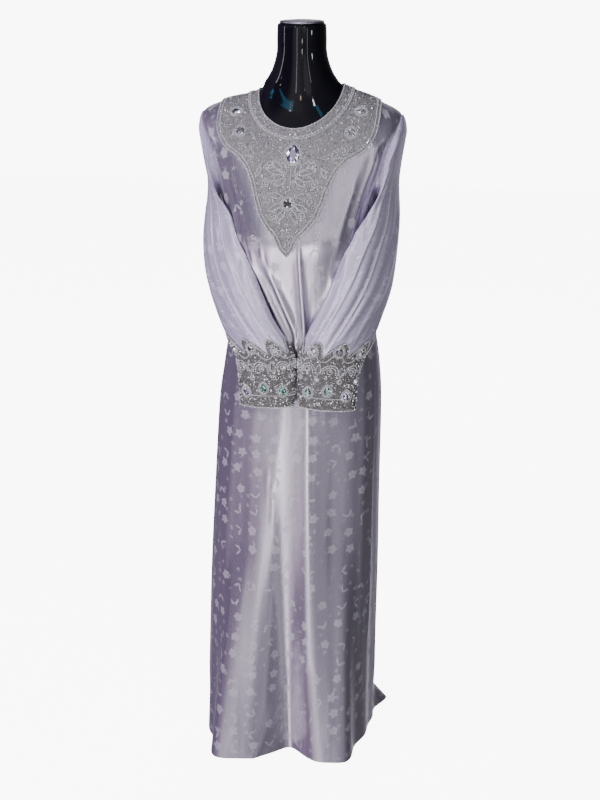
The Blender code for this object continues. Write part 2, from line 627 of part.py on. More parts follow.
def add_yoke_stones():
    """The stones set on the yoke."""
    steps = np.linspace(-1, 1, 5)
    for stone in YOKE_STONES:
        swing = YOKE_LEAN * ease(stone.place_b / YOKE_FRONT[0].reach)
        angle = stone.place_a + swing * math.cos(math.radians(stone.place_a))
        angles = angle + np.degrees(stone.width / 2 / RINGS[0].half_width) * steps[None, :]
        rings = stone.place_b + stone.height / 2 / YOKE_RING_HEIGHT * steps[:, None]
        add_stone(stone.name, stone, body_grid(angles, rings, YOKE_GAP + BEADED))


def add_cuff_stones(side, side_name):
    """The stones set on the outer face of one cuff."""
    steps = np.linspace(-1, 1, 5)
    for stone in CUFF_STONES:
        turns = math.radians(stone.place_a) - stone.width / 2 / CUFF_HALF_WIDTH * steps * side
        rows = stone.place_b + stone.height / 2 / CUFF_ROW_HEIGHT * steps[:, None]
        turns, rows = np.broadcast_arrays(turns[None, :] % (2 * math.pi), rows)
        patch, _ = on_sleeve(side, turns, rows, CUFF_GAP + BEADED)
        add_stone(f"stone_cuff_{side_name}_{stone.name}", stone, patch)


def add_form():
    """The headless torso with its neck, inside the dress and clear of the cloth."""
    angles, rings, slants = round_grid(0.0, 0.0)
    turn = np.radians(angles[0])
    facing = np.cos(turn)
    rows = []
    for ring in FORM_NECK:
        end = np.where(facing > 0, ring.front, ring.back)
        height = NECK_POINT - ring.side - (end - ring.side) * facing**2
        rows.append(np.stack([ring.half_width * np.sin(turn), -ring.half_depth * facing, height], axis=-1))
    for row in FORM_ROWS:
        gap = CLOTH + curve_through(column(RINGS, "form_gap"), rings[row])
        rows.append(body_grid(angles[row], rings[row], -gap, folded=False))
    hip = rows[-1]
    centre = hip.mean(axis=0)
    for end in FORM_ENDS:
        lower = centre + (hip - centre) * end.scale
        lower[:, 2] = centre[2] - end.fall
        rows.append(lower)
    grid = np.array(rows)
    count, columns = grid.shape[:2]
    points = list(grid.reshape(-1, 3)) + [grid[0].mean(axis=0), grid[-1].mean(axis=0)]
    faces = grid_faces(count, columns, True, 0, False, slants)
    top, bottom, last = count * columns, count * columns + 1, (count - 1) * columns
    for k in range(columns):
        after = (k + 1) % columns
        faces += [(top, k, after), (bottom, last + after, last + k)]
    add_object("form_torso", points, faces, GLOSS_BLACK)
    return float(grid[-1, 0, 2])


def add_turned(name, profile, finish):
    """A solid turned round the Z axis from (radius, height) points, bottom to top."""
    points, faces = [], []
    for radius, height in profile:
        for k in range(ROUND_SIDES):
            turn = 2 * math.pi * k / ROUND_SIDES
            points.append((radius * math.cos(turn), radius * math.sin(turn), height))
    for level in range(len(profile) - 1):
        for k in range(ROUND_SIDES):
            a = level * ROUND_SIDES + k
            b = level * ROUND_SIDES + (k + 1) % ROUND_SIDES
            faces.append((a, b, b + ROUND_SIDES, a + ROUND_SIDES))
    faces.append(tuple(reversed(range(ROUND_SIDES))))
    faces.append(tuple(range((len(profile) - 1) * ROUND_SIDES, len(profile) * ROUND_SIDES)))
    return add_object(name, points, faces, finish)


def add_stand(torso_bottom):
    """The neck cap, the pole and the round foot of the form."""
    cap_low = NECK_POINT - FORM_NECK[0].side + SEAM
    cap = (
        (CAP_RADIUS, cap_low),
        (CAP_RADIUS, cap_low + CAP_THICKNESS - 0.001),
        (CAP_RADIUS - 0.0015, cap_low + CAP_THICKNESS),
        (CAP_RADIUS * 0.5, cap_low + CAP_THICKNESS + CAP_DOME * 0.8),
        (CAP_RADIUS * 0.1, cap_low + CAP_THICKNESS + CAP_DOME),
    )
    add_turned("form_cap", cap, CAP_METAL)
    pole = ((POLE_RADIUS, FOOT_HUB_HEIGHT + SEAM), (POLE_RADIUS, torso_bottom - SEAM))
    add_turned("form_pole", pole, STEEL)
    foot = (
        (FOOT_RADIUS, 0.0),
        (FOOT_RADIUS, FOOT_THICKNESS * 0.6),
        (FOOT_RADIUS - 0.004, FOOT_THICKNESS),
        (FOOT_HUB_RADIUS + 0.004, FOOT_THICKNESS + 0.001),
        (FOOT_HUB_RADIUS, FOOT_THICKNESS + 0.005),
        (FOOT_HUB_RADIUS - 0.003, FOOT_HUB_HEIGHT),
    )
    add_turned("form_foot", foot, STEEL)


def main():
    """Builds every piece of the dress and of the form that wears it."""
    for old in list(bpy.data.objects):
        bpy.data.objects.remove(old)
    add_panel("front_panel", 0.0, YOKE_FRONT, ARMHOLE_FRONT_CUT, YOKE_LEAN)
    add_panel("back_panel", 180.0, YOKE_BACK, ARMHOLE_BACK_CUT, 0.0)
    for side, side_name in ((1, "left"), (-1, "right")):
        add_sleeve(f"sleeve_{side_name}", side)
        add_cuff(f"cuff_{side_name}", side)
        add_cuff_stones(side, side_name)
    add_yoke()
    add_yoke_stones()
    add_stand(add_form())


main()
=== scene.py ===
"""The looks of a silver-lilac satin kaftan dress with a beaded yoke and cuffs, on a gloss dress form.

Metres, +Z up, the front towards -Y and +X the wearer's left. Angles round the body are in degrees,
0 at the front and 90 at +X. Rings count the levels of the body and rows the stations of a sleeve.
"""

import logging
import math
from dataclasses import dataclass, field
from enum import Enum

import bpy
import numpy as np
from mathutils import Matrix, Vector
from mathutils.bvhtree import BVHTree


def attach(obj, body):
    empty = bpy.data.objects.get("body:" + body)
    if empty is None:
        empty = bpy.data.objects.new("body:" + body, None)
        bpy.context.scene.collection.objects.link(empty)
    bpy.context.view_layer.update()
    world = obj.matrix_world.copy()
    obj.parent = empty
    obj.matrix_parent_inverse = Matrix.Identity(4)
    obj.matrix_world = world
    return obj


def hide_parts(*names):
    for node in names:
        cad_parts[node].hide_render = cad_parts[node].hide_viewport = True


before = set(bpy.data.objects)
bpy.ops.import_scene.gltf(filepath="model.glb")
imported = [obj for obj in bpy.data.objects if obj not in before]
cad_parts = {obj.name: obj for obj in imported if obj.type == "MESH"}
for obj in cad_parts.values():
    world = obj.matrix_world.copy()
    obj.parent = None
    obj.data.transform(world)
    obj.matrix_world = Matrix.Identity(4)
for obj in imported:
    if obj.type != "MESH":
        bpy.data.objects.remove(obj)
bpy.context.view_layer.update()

LOG = logging.getLogger("kaftan")
BODY = "root"
CLOTH_MAP = "cloth"
# The vertex map that places the highlights painted along the tops of folds
PAINTED_HIGHLIGHT_MAP = "crest"
Colour = tuple[float, float, float, float]

# Driving sizes, which repeat those of the solids
DRESS_LENGTH = 1.456
HEM_HEIGHT = 0.006
NECK_POINT = DRESS_LENGTH + HEM_HEIGHT
SOLID_CLOTH = 0.0016
CLOTH = 0.0011
BEADED_NET = 0.0010
NET_GAP = 0.0007
NET_FACE = NET_GAP + BEADED_NET
FOLD_RADIUS = 0.15
BODY_SQUARENESS = 0.035
NECK_ROUNDNESS = 0.80
NECK_LEAN = 0.006


class Side(Enum):
    """The wearer's side that a sleeve or cuff is on; the value is the sign of its X."""

    LEFT = 1
    RIGHT = -1

    @property
    def word(self) -> str:
        """The side's word in the names of pieces."""
        return self.name.lower()


@dataclass(frozen=True)
class Ring:
    """A level of the body: drops below the neck point, half axes, shift along X, the form's gap."""

    name: str
    side: float
    front: float
    back: float
    half_width: float
    front_depth: float
    back_depth: float
    shift: float
    form_gap: float


RINGS = (
    Ring("neck", 0.002, 0.073, 0.016, 0.084, 0.078, 0.058, 0.000, 0.0006),
    Ring("collar", 0.015, 0.101, 0.040, 0.117, 0.092, 0.078, 0.000, 0.0008),
    Ring("shoulder", 0.029, 0.127, 0.067, 0.160, 0.102, 0.092, 0.000, 0.0008),
    Ring("shoulder_tip", 0.052, 0.157, 0.102, 0.201, 0.109, 0.100, 0.000, 0.0055),
    Ring("upper_armhole", 0.094, 0.186, 0.140, 0.198, 0.116, 0.105, 0.000, 0.0060),
    Ring("mid_armhole", 0.156, 0.224, 0.190, 0.180, 0.126, 0.107, 0.000, 0.0080),
    Ring("armpit", 0.227, 0.267, 0.247, 0.162, 0.135, 0.105, 0.000, 0.0070),
    Ring("bust", 0.290, 0.304, 0.296, 0.153, 0.137, 0.100, 0.000, 0.0040),
    Ring("under_bust", 0.376, 0.376, 0.376, 0.146, 0.121, 0.093, 0.000, 0.0050),
    Ring("waist", 0.477, 0.477, 0.477, 0.153, 0.109, 0.091, 0.001, 0.0100),
    Ring("high_hip", 0.572, 0.572, 0.572, 0.166, 0.112, 0.104, 0.000, 0.0120),
    Ring("hip", 0.662, 0.662, 0.662, 0.175, 0.118, 0.118, -0.004, 0.0150),
    Ring("thigh", 0.850, 0.850, 0.850, 0.181, 0.125, 0.125, -0.011, 0.0200),
    Ring("knee", 1.050, 1.050, 1.050, 0.187, 0.135, 0.130, -0.017, 0.0200),
    Ring("calf", 1.250, 1.250, 1.250, 0.190, 0.148, 0.138, -0.022, 0.0200),
    Ring("hem", DRESS_LENGTH, DRESS_LENGTH, DRESS_LENGTH, 0.194, 0.169, 0.151, -0.025, 0.0200),
)
LAST_RING = len(RINGS) - 1
SHOULDER_TIP, ARMPIT = 3, 6


@dataclass(frozen=True)
class Fold:
    """A soft ridge of the body, or a trough where its lift is negative."""

    angle_top: float
    drop_top: float
    angle_bottom: float
    drop_bottom: float
    width: float
    lift_top: float
    lift_bottom: float
    fade: float = 0.045
    # How strongly a near-white highlight is painted along the fold's top; 0 for none
    painted_highlight: float = 0.0


@dataclass(frozen=True)
class Mound:
    """One side of the bust, which the cloth spans."""

    angle: float
    drop: float
    spread: float
    lift: float


# The largest folds, which the solids have too
MAIN_FOLDS = (
    Fold(-31.0, 0.350, 1.0, 0.520, 0.0105, 0.0040, 0.0065),
    Fold(-17.0, 0.360, 4.5, 0.500, 0.0095, 0.0035, 0.0055),
    Fold(5.0, 0.350, 8.0, 0.540, 0.0100, 0.0030, 0.0065),
    Fold(37.0, 0.350, 13.0, 0.520, 0.0105, 0.0040, 0.0065),
    Fold(12.0, 0.640, 23.0, DRESS_LENGTH, 0.0240, 0.0040, 0.0260),
    Fold(-16.0, 0.760, -17.0, DRESS_LENGTH, 0.0240, 0.0020, 0.0260),
    Fold(-2.0, 0.900, 7.0, DRESS_LENGTH, 0.0270, -0.0010, -0.0300),
    Fold(-33.0, 0.960, -33.0, DRESS_LENGTH, 0.0300, 0.0010, 0.0620),
    Fold(38.0, 0.960, 38.0, DRESS_LENGTH, 0.0270, 0.0010, 0.0450),
    Fold(-56.0, 0.820, -56.0, DRESS_LENGTH, 0.0290, 0.0010, 0.0100),
    Fold(76.0, 0.820, 82.0, DRESS_LENGTH, 0.0280, -0.0010, -0.0080),
    Fold(118.0, 1.385, 122.0, DRESS_LENGTH, 0.0240, 0.0000, 0.0520),
    Fold(140.0, 0.640, 143.0, DRESS_LENGTH, 0.0320, 0.0030, 0.0150),
    Fold(178.0, 0.560, 180.0, DRESS_LENGTH, 0.0340, 0.0030, 0.0170),
    Fold(216.0, 0.640, 214.0, DRESS_LENGTH, 0.0320, 0.0030, 0.0150),
    Fold(249.0, 0.800, 248.0, DRESS_LENGTH, 0.0280, 0.0010, 0.0110),
)

# Creases that only the looks have; a ninth number, where given, is the strength of a highlight painted along
# the crease's top
CREASES = (
    Fold(-34.0, 0.325, -4.0, 0.500, 0.0036, 0.0014, 0.0034, 0.03, 0.9),
    Fold(-22.0, 0.330, 1.0, 0.480, 0.0034, 0.0018, 0.0034, 0.03, 0.9),
    Fold(6.0, 0.325, 8.0, 0.500, 0.0034, 0.0024, 0.0036, 0.03, 0.9),
    Fold(-50.0, 0.150, -38.0, 0.400, 0.0075, 0.0026, 0.0012, 0.04),
    Fold(-58.0, 0.170, -50.0, 0.430, 0.0060, 0.0024, 0.0012, 0.04),
    Fold(-40.0, 0.190, -30.0, 0.330, 0.0050, 0.0016, 0.0010, 0.03),
    Fold(49.0, 0.140, 40.0, 0.420, 0.0080, 0.0030, 0.0014, 0.04),
    Fold(57.0, 0.160, 49.0, 0.430, 0.0060, 0.0026, 0.0012, 0.04),
    Fold(38.0, 0.200, 30.0, 0.350, 0.0055, 0.0018, 0.0010, 0.03),
    Fold(10.5, 0.620, 16.0, 1.200, 0.0060, 0.0016, 0.0022, 0.05, 0.4),
    Fold(-8.0, 0.660, -9.0, 1.300, 0.0090, 0.0010, 0.0024, 0.06),
    Fold(-14.5, 0.800, -13.5, 0.856, 0.0048, 0.0012, 0.0009, 0.016),
    Fold(-10.5, 0.826, -9.5, 0.900, 0.0046, 0.0012, 0.0009, 0.016),
    Fold(24.0, 0.640, 29.0, 1.350, 0.0100, 0.0008, 0.0030, 0.06),
    Fold(-27.0, 0.700, -25.0, 1.380, 0.0100, 0.0008, 0.0030, 0.06),
    Fold(-44.0, 0.560, -46.0, 1.200, 0.0110, 0.0012, 0.0020, 0.06),
    Fold(55.0, 0.560, 58.0, 1.300, 0.0110, 0.0012, 0.0024, 0.06),
    Fold(66.0, 0.540, 70.0, 1.150, 0.0090, 0.0012, 0.0020, 0.06),
    Fold(-72.0, 0.540, -74.0, 1.300, 0.0110, 0.0012, 0.0024, 0.06),
    Fold(1.0, 1.290, -14.0, DRESS_LENGTH, 0.0060, 0.0008, 0.0036, 0.03),
    Fold(96.0, 0.560, 98.0, 1.300, 0.0120, 0.0012, 0.0030, 0.06),
    Fold(128.0, 0.250, 152.0, 0.470, 0.0080, 0.0024, 0.0030, 0.04),
    Fold(232.0, 0.250, 208.0, 0.470, 0.0080, 0.0024, 0.0030, 0.04),
    Fold(158.0, 0.180, 166.0, 0.520, 0.0090, 0.0016, 0.0026, 0.05),
    Fold(202.0, 0.200, 194.0, 0.520, 0.0090, 0.0016, 0.0026, 0.05),
    Fold(160.0, 0.620, 162.0, 1.350, 0.0120, 0.0012, 0.0030, 0.06),
    Fold(197.0, 0.600, 197.0, 1.380, 0.0120, 0.0012, 0.0030, 0.06),
    Fold(232.0, 0.640, 231.0, 1.340, 0.0110, 0.0012, 0.0030, 0.06),
    Fold(266.0, 0.560, 265.0, 1.340, 0.0120, 0.0012, 0.0024, 0.06),
)
MOUNDS = (
    Mound(-29.0, 0.288, 0.058, 0.009),
    Mound(29.0, 0.288, 0.058, 0.009),
)

# How far each panel's edge is cut back from the side at the armhole, in degrees
ARMHOLE_FRONT_CUT = 30.0
ARMHOLE_BACK_CUT = 27.0
ARMHOLE_SPREAD = 1.5
ARMHOLE_EDGE_SPREAD = 6
ARMHOLE_PULL_TOP = 1.5
ARMHOLE_PULL_BOTTOM = 8.0
ARMHOLE_MIDDLE = (60.0, 117.0)
ARMHOLE_MIDDLE_RING = 4.5


@dataclass(frozen=True)
class Station:
    """A section of a sleeve: its edges, half thickness, bow, tilt, and its shifts along +X.

    The cuffs' pins shift the whole section, and its front edge lies further forward besides.
    """

    name: str
    front_x: float
    front_y: float
    front_drop: float
    back_x: float
    back_y: float
    back_drop: float
    half_thick: float
    bow: float
    tilt: float
    pinned: float
    forward: float


STATIONS = (
    Station("head", 0.176, -0.072, 0.160, 0.189, 0.067, 0.156, 0.0235, 0.005, 0.074, 0.000, 0.000),
    Station("upper", 0.169, -0.085, 0.205, 0.184, 0.068, 0.213, 0.0170, 0.006, 0.036, -0.001, 0.003),
    Station("mid_upper", 0.149, -0.104, 0.250, 0.192, 0.060, 0.272, 0.0160, 0.013, 0.012, -0.003, 0.010),
    Station("above_elbow", 0.115, -0.122, 0.302, 0.193, 0.038, 0.342, 0.0180, 0.019, 0.004, -0.004, 0.006),
    Station("elbow", 0.083, -0.132, 0.370, 0.188, 0.004, 0.406, 0.0205, 0.020, 0.000, -0.003, 0.005),
    Station("forearm", 0.047, -0.137, 0.442, 0.172, -0.040, 0.456, 0.0210, 0.018, 0.000, 0.001, 0.002),
    Station("lower", 0.021, -0.140, 0.486, 0.153, -0.078, 0.496, 0.0215, 0.015, 0.000, 0.007, 0.000),
    Station("above_wrist", 0.007, -0.141, 0.521, 0.131, -0.105, 0.534, 0.0195, 0.009, 0.000, 0.011, 0.000),
    Station("wrist", 0.005, -0.141, 0.557, 0.122, -0.123, 0.570, 0.0180, 0.005, 0.000, 0.011, 0.000),
    Station("cuff_end", 0.007, -0.141, 0.630, 0.118, -0.128, 0.636, 0.0165, 0.004, 0.000, 0.011, 0.000),
)
LAST_ROW = len(STATIONS)
SLEEVE_EDGE_SHARPNESS = 0.85
SLEEVE_LEAD = 0.015
SLEEVE_LEAD_ROWS = 0.20
SEAM = 0.0003


@dataclass(frozen=True)
class SleeveFold:
    """A long fold on a sleeve's outer face; across runs from -1, its back edge, to 1, its front."""

    across_top: float
    across_bottom: float
    row_top: float
    row_bottom: float
    width: float
    lift: float


SLEEVE_FOLDS = (
    SleeveFold(0.62, 0.55, 3.0, 7.4, 0.130, 0.0050),
    SleeveFold(0.15, 0.20, 2.4, 7.2, 0.140, 0.0055),
    SleeveFold(-0.32, -0.18, 2.8, 7.2, 0.140, 0.0050),
    SleeveFold(0.80, 0.74, 1.0, 7.6, 0.040, 0.0036),
    SleeveFold(0.42, 0.34, 2.0, 7.6, 0.040, 0.0032),
)
SLEEVE_FOLD_ENDS = 0.7
CRISP = 0.05

# The highlights painted along fold tops: their strength, how much narrower than a fold they are, their rows
# on a sleeve with the rows over which they fade, how fast they end sideways, and where they stop
PAINTED_HIGHLIGHT_STRENGTH = 0.85
CREST_NARROWING = 1.3
CREST_ROWS, CREST_FADES = (1.0, 7.9), (1.2, 0.8)
CREST_ENDING = 4
CREST_LAST_ANGLE = math.pi * 0.6
# The turn round a sleeve of the highlight painted along its front edge
SLEEVE_FRONT_LINE = 1.27
GATHERS = 20
GATHER_LIFT = 0.0006
GATHER_TOP_ROW, GATHER_REACH = 5.0, 0.22
GATHER_RISE = 1.5
GATHER_PAST, GATHER_FADE = 0.02, 0.35
GATHER_SWAY, GATHER_SWAYS, GATHER_SWAY_START, GATHER_DRIFT = 2.4, 3, 0.8, 0.5


@dataclass(frozen=True)
class EdgePoint:
    """A point of the yoke's outer edge: degrees from the middle, and the ring that it reaches."""

    place: float
    reach: float


YOKE_FRONT = (
    EdgePoint(0.0, 7.25),
    EdgePoint(5.4, 7.00),
    EdgePoint(9.8, 6.35),
    EdgePoint(16.6, 5.90),
    EdgePoint(22.8, 5.50),
    EdgePoint(26.8, 4.90),
    EdgePoint(28.3, 4.10),
    EdgePoint(30.2, 3.40),
    EdgePoint(35.5, 3.08),
    EdgePoint(47.0, 3.08),
    EdgePoint(56.0, 2.78),
    EdgePoint(65.0, 2.42),
    EdgePoint(73.0, 2.20),
    EdgePoint(81.5, 2.08),
    EdgePoint(90.0, 1.97),
)
YOKE_BACK = (
    EdgePoint(0.0, 0.80),
    EdgePoint(10.0, 0.80),
    EdgePoint(20.0, 0.81),
    EdgePoint(30.0, 0.82),
    EdgePoint(40.0, 0.84),
    EdgePoint(50.0, 0.88),
    EdgePoint(60.0, 0.97),
    EdgePoint(70.0, 1.15),
    EdgePoint(80.0, 1.50),
    EdgePoint(90.0, 1.97),
)
YOKE_LEAN = -3.5

# The cuffs' lobed upper edge and straight end, in sleeve rows
CUFF_TOP = 7.78
CUFF_LOBE = 0.84
CUFF_LOBES = 8
CUFF_END = 9.97


def curve_through(values: np.ndarray, position: np.ndarray) -> np.ndarray:
    """Reads a column of a table on a smooth curve through its rows.

    Args:
        values: The column, one number for each row.
        position: Fractional row numbers.

    Returns:
        The values there.
    """
    values = np.asarray(values, float)
    last = len(values) - 1
    position = np.clip(np.asarray(position, float), 0, last)
    row = np.minimum(np.floor(position).astype(int), last - 1)
    t = position - row
    before, start, end = values[np.maximum(row - 1, 0)], values[row], values[row + 1]
    after = values[np.minimum(row + 2, last)]
    slope_in, slope_out = (end - before) / 2, (after - start) / 2
    return (
        start * (2 * t**3 - 3 * t**2 + 1)
        + slope_in * (t**3 - 2 * t**2 + t)
        + end * (3 * t**2 - 2 * t**3)
        + slope_out * (t**3 - t**2)
    )


def column(table: tuple, name: str) -> list[float]:
    """One named column of a table."""
    return [getattr(row, name) for row in table]


def ease(t: np.ndarray) -> np.ndarray:
    """0 before 0, 1 after 1 and smooth between."""
    t = np.clip(t, 0, 1)
    return t * t * (3 - 2 * t)


def inside(value: np.ndarray, ends: tuple[float, float], fades: tuple[float, float]) -> np.ndarray:
    """1 between two ends and 0 outside them, smooth over a fade of its own inside each end."""
    return ease((value - ends[0]) / fades[0]) * ease((ends[1] - value) / fades[1])


def cuff_edge_row(turn: np.ndarray) -> np.ndarray:
    """The sleeve row of the cuff's lobed upper edge at turns round the sleeve."""
    return CUFF_TOP - CUFF_LOBE * np.abs(np.cos(CUFF_LOBES / 2 * turn)) ** 0.8


def unit(vectors: np.ndarray) -> np.ndarray:
    """Vectors scaled to length one along their last axis."""
    return vectors / np.maximum(np.linalg.norm(vectors, axis=-1, keepdims=True), 1e-12)


@dataclass
class BodyShape:
    """The surface that the front, the back, the yoke and the form are taken from."""

    folds: tuple[Fold, ...] = MAIN_FOLDS + CREASES

    @staticmethod
    def place_on(
        fold: Fold, angle: np.ndarray, drop: np.ndarray
    ) -> tuple[np.ndarray, np.ndarray, np.ndarray]:
        """How many widths across a fold, how far past its ends and what share along it places are."""
        length = fold.drop_bottom - fold.drop_top
        along = (drop - fold.drop_top) / length
        held = np.clip(along, 0, 1)
        line = fold.angle_top + (fold.angle_bottom - fold.angle_top) * held
        turn = (angle - line + 180) % 360 - 180
        return np.radians(turn) * FOLD_RADIUS / fold.width, np.abs(along - held) * length / fold.fade, held

    def crest(self, angle: np.ndarray, drop: np.ndarray) -> np.ndarray:
        """How strongly a highlight is painted on places near the top of a crisp fold, 0 to 1."""
        crest = np.zeros(np.broadcast(angle, drop).shape)
        for fold in self.folds:
            if fold.painted_highlight:
                across, past_end, _ = self.place_on(fold, angle, drop)
                bright = fold.painted_highlight * np.exp(-((CREST_NARROWING * across) ** 2) - past_end**2)
                crest = np.maximum(crest, bright)
        return crest

    def lift(self, angle: np.ndarray, drop: np.ndarray) -> np.ndarray:
        """How far folds and bust move the cloth out.

        Args:
            angle: Degrees round the body.
            drop: Metres below the side neck point.

        Returns:
            The distance outwards, in metres.
        """
        lift = np.zeros(np.broadcast(angle, drop).shape)
        for fold in self.folds:
            across, past_end, held = self.place_on(fold, angle, drop)
            height = fold.lift_top + (fold.lift_bottom - fold.lift_top) * held
            lift = lift + height * np.exp(-(across**2) - past_end**2)
        for mound in MOUNDS:
            turn = (angle - mound.angle + 180) % 360 - 180
            across = np.radians(turn) * FOLD_RADIUS / mound.spread
            along = (drop - mound.drop) / mound.spread
            lift = lift + mound.lift * np.exp(-(across**2) - along**2)
        return lift

    def points(self, angle: np.ndarray, ring: np.ndarray, folded: bool = True) -> np.ndarray:
        """Points of the outer face.

        Args:
            angle: Degrees round the body.
            ring: Fractional ring numbers.
            folded: Whether the folds and the bust are on it.

        Returns:
            The points, with X, Y and Z on the last axis.
        """
        angle, ring = np.broadcast_arrays(np.asarray(angle, float), np.asarray(ring, float))
        turn = np.radians(angle)
        facing, sideways = np.cos(turn), np.sin(turn)
        names = ("side", "front", "back", "half_width", "front_depth", "back_depth", "shift")
        at = {name: curve_through(column(RINGS, name), ring) for name in names}
        is_front = facing > 0
        depth = np.where(is_front, at["front_depth"], at["back_depth"])
        near_neck = 1 - ease(ring / SHOULDER_TIP)
        power = np.where(is_front, 2 - NECK_ROUNDNESS * near_neck, 2.0)
        fall = np.where(is_front, at["front"], at["back"]) - at["side"]
        drop = at["side"] + fall * np.abs(facing) ** power - NECK_LEAN * near_neck * sideways
        corner = 1 + BODY_SQUARENESS * np.sin(2 * turn) ** 2
        lift = self.lift(angle, drop) if folded else 0.0
        x = at["shift"] + (at["half_width"] * corner + lift) * sideways
        y = -(depth * corner + lift) * facing
        return np.stack([x, y, NECK_POINT - drop], axis=-1)

    def normals(self, angle: np.ndarray, ring: np.ndarray, folded: bool = True) -> np.ndarray:
        """Unit normals of the outer face at angles and ring numbers."""
        step, rise = 0.3, 0.015
        angle, ring = np.broadcast_arrays(np.asarray(angle, float), np.asarray(ring, float))
        after, before = self.points(angle + step, ring, folded), self.points(angle - step, ring, folded)
        low = self.points(angle, np.minimum(ring + rise, LAST_RING), folded)
        high = self.points(angle, np.maximum(ring - rise, 0), folded)
        return unit(np.cross(low - high, after - before))

    def moved_out(self, angle: np.ndarray, ring: np.ndarray, out: float, folded: bool = True) -> np.ndarray:
        """Points of the outer face moved out by a distance along its normals."""
        return self.points(angle, ring, folded) + self.normals(angle, ring, folded) * out


def armhole_cut(ring: np.ndarray, reach: float) -> np.ndarray:
    """How many degrees a panel's edge is cut back from the side at a ring number."""
    share = np.clip((ring - SHOULDER_TIP) / (ARMPIT - SHOULDER_TIP), 0, 1)
    return reach * 2 * np.sqrt(share * (1 - share))


def armhole_rings(turn: np.ndarray) -> np.ndarray:
    """Ring number at a turn round an armhole, from its top through the front to its bottom."""
    return SHOULDER_TIP + (ARMPIT - SHOULDER_TIP) * (1 - np.cos(turn)) / 2


def panel_angle(place: np.ndarray, rings: np.ndarray, cut: float) -> np.ndarray:
    """Degrees from a panel's middle, with its edge cut back round the armhole.

    Args:
        place: Even degrees from the middle, -90 to 90.
        rings: Fractional ring numbers.
        cut: How far the edge is cut back at the armhole's middle.

    Returns:
        The angles.
    """
    near = np.abs(place / 90) ** ARMHOLE_EDGE_SPREAD
    pulled = np.clip((rings - ARMHOLE_PULL_TOP) / (ARMHOLE_PULL_BOTTOM - ARMHOLE_PULL_TOP), 0, 1)
    pull = cut * np.sin(math.pi * pulled) ** 2
    pull = pull + (armhole_cut(rings, cut) - pull) * near
    return place - pull * np.sign(place) * np.abs(place / 90) ** ARMHOLE_SPREAD


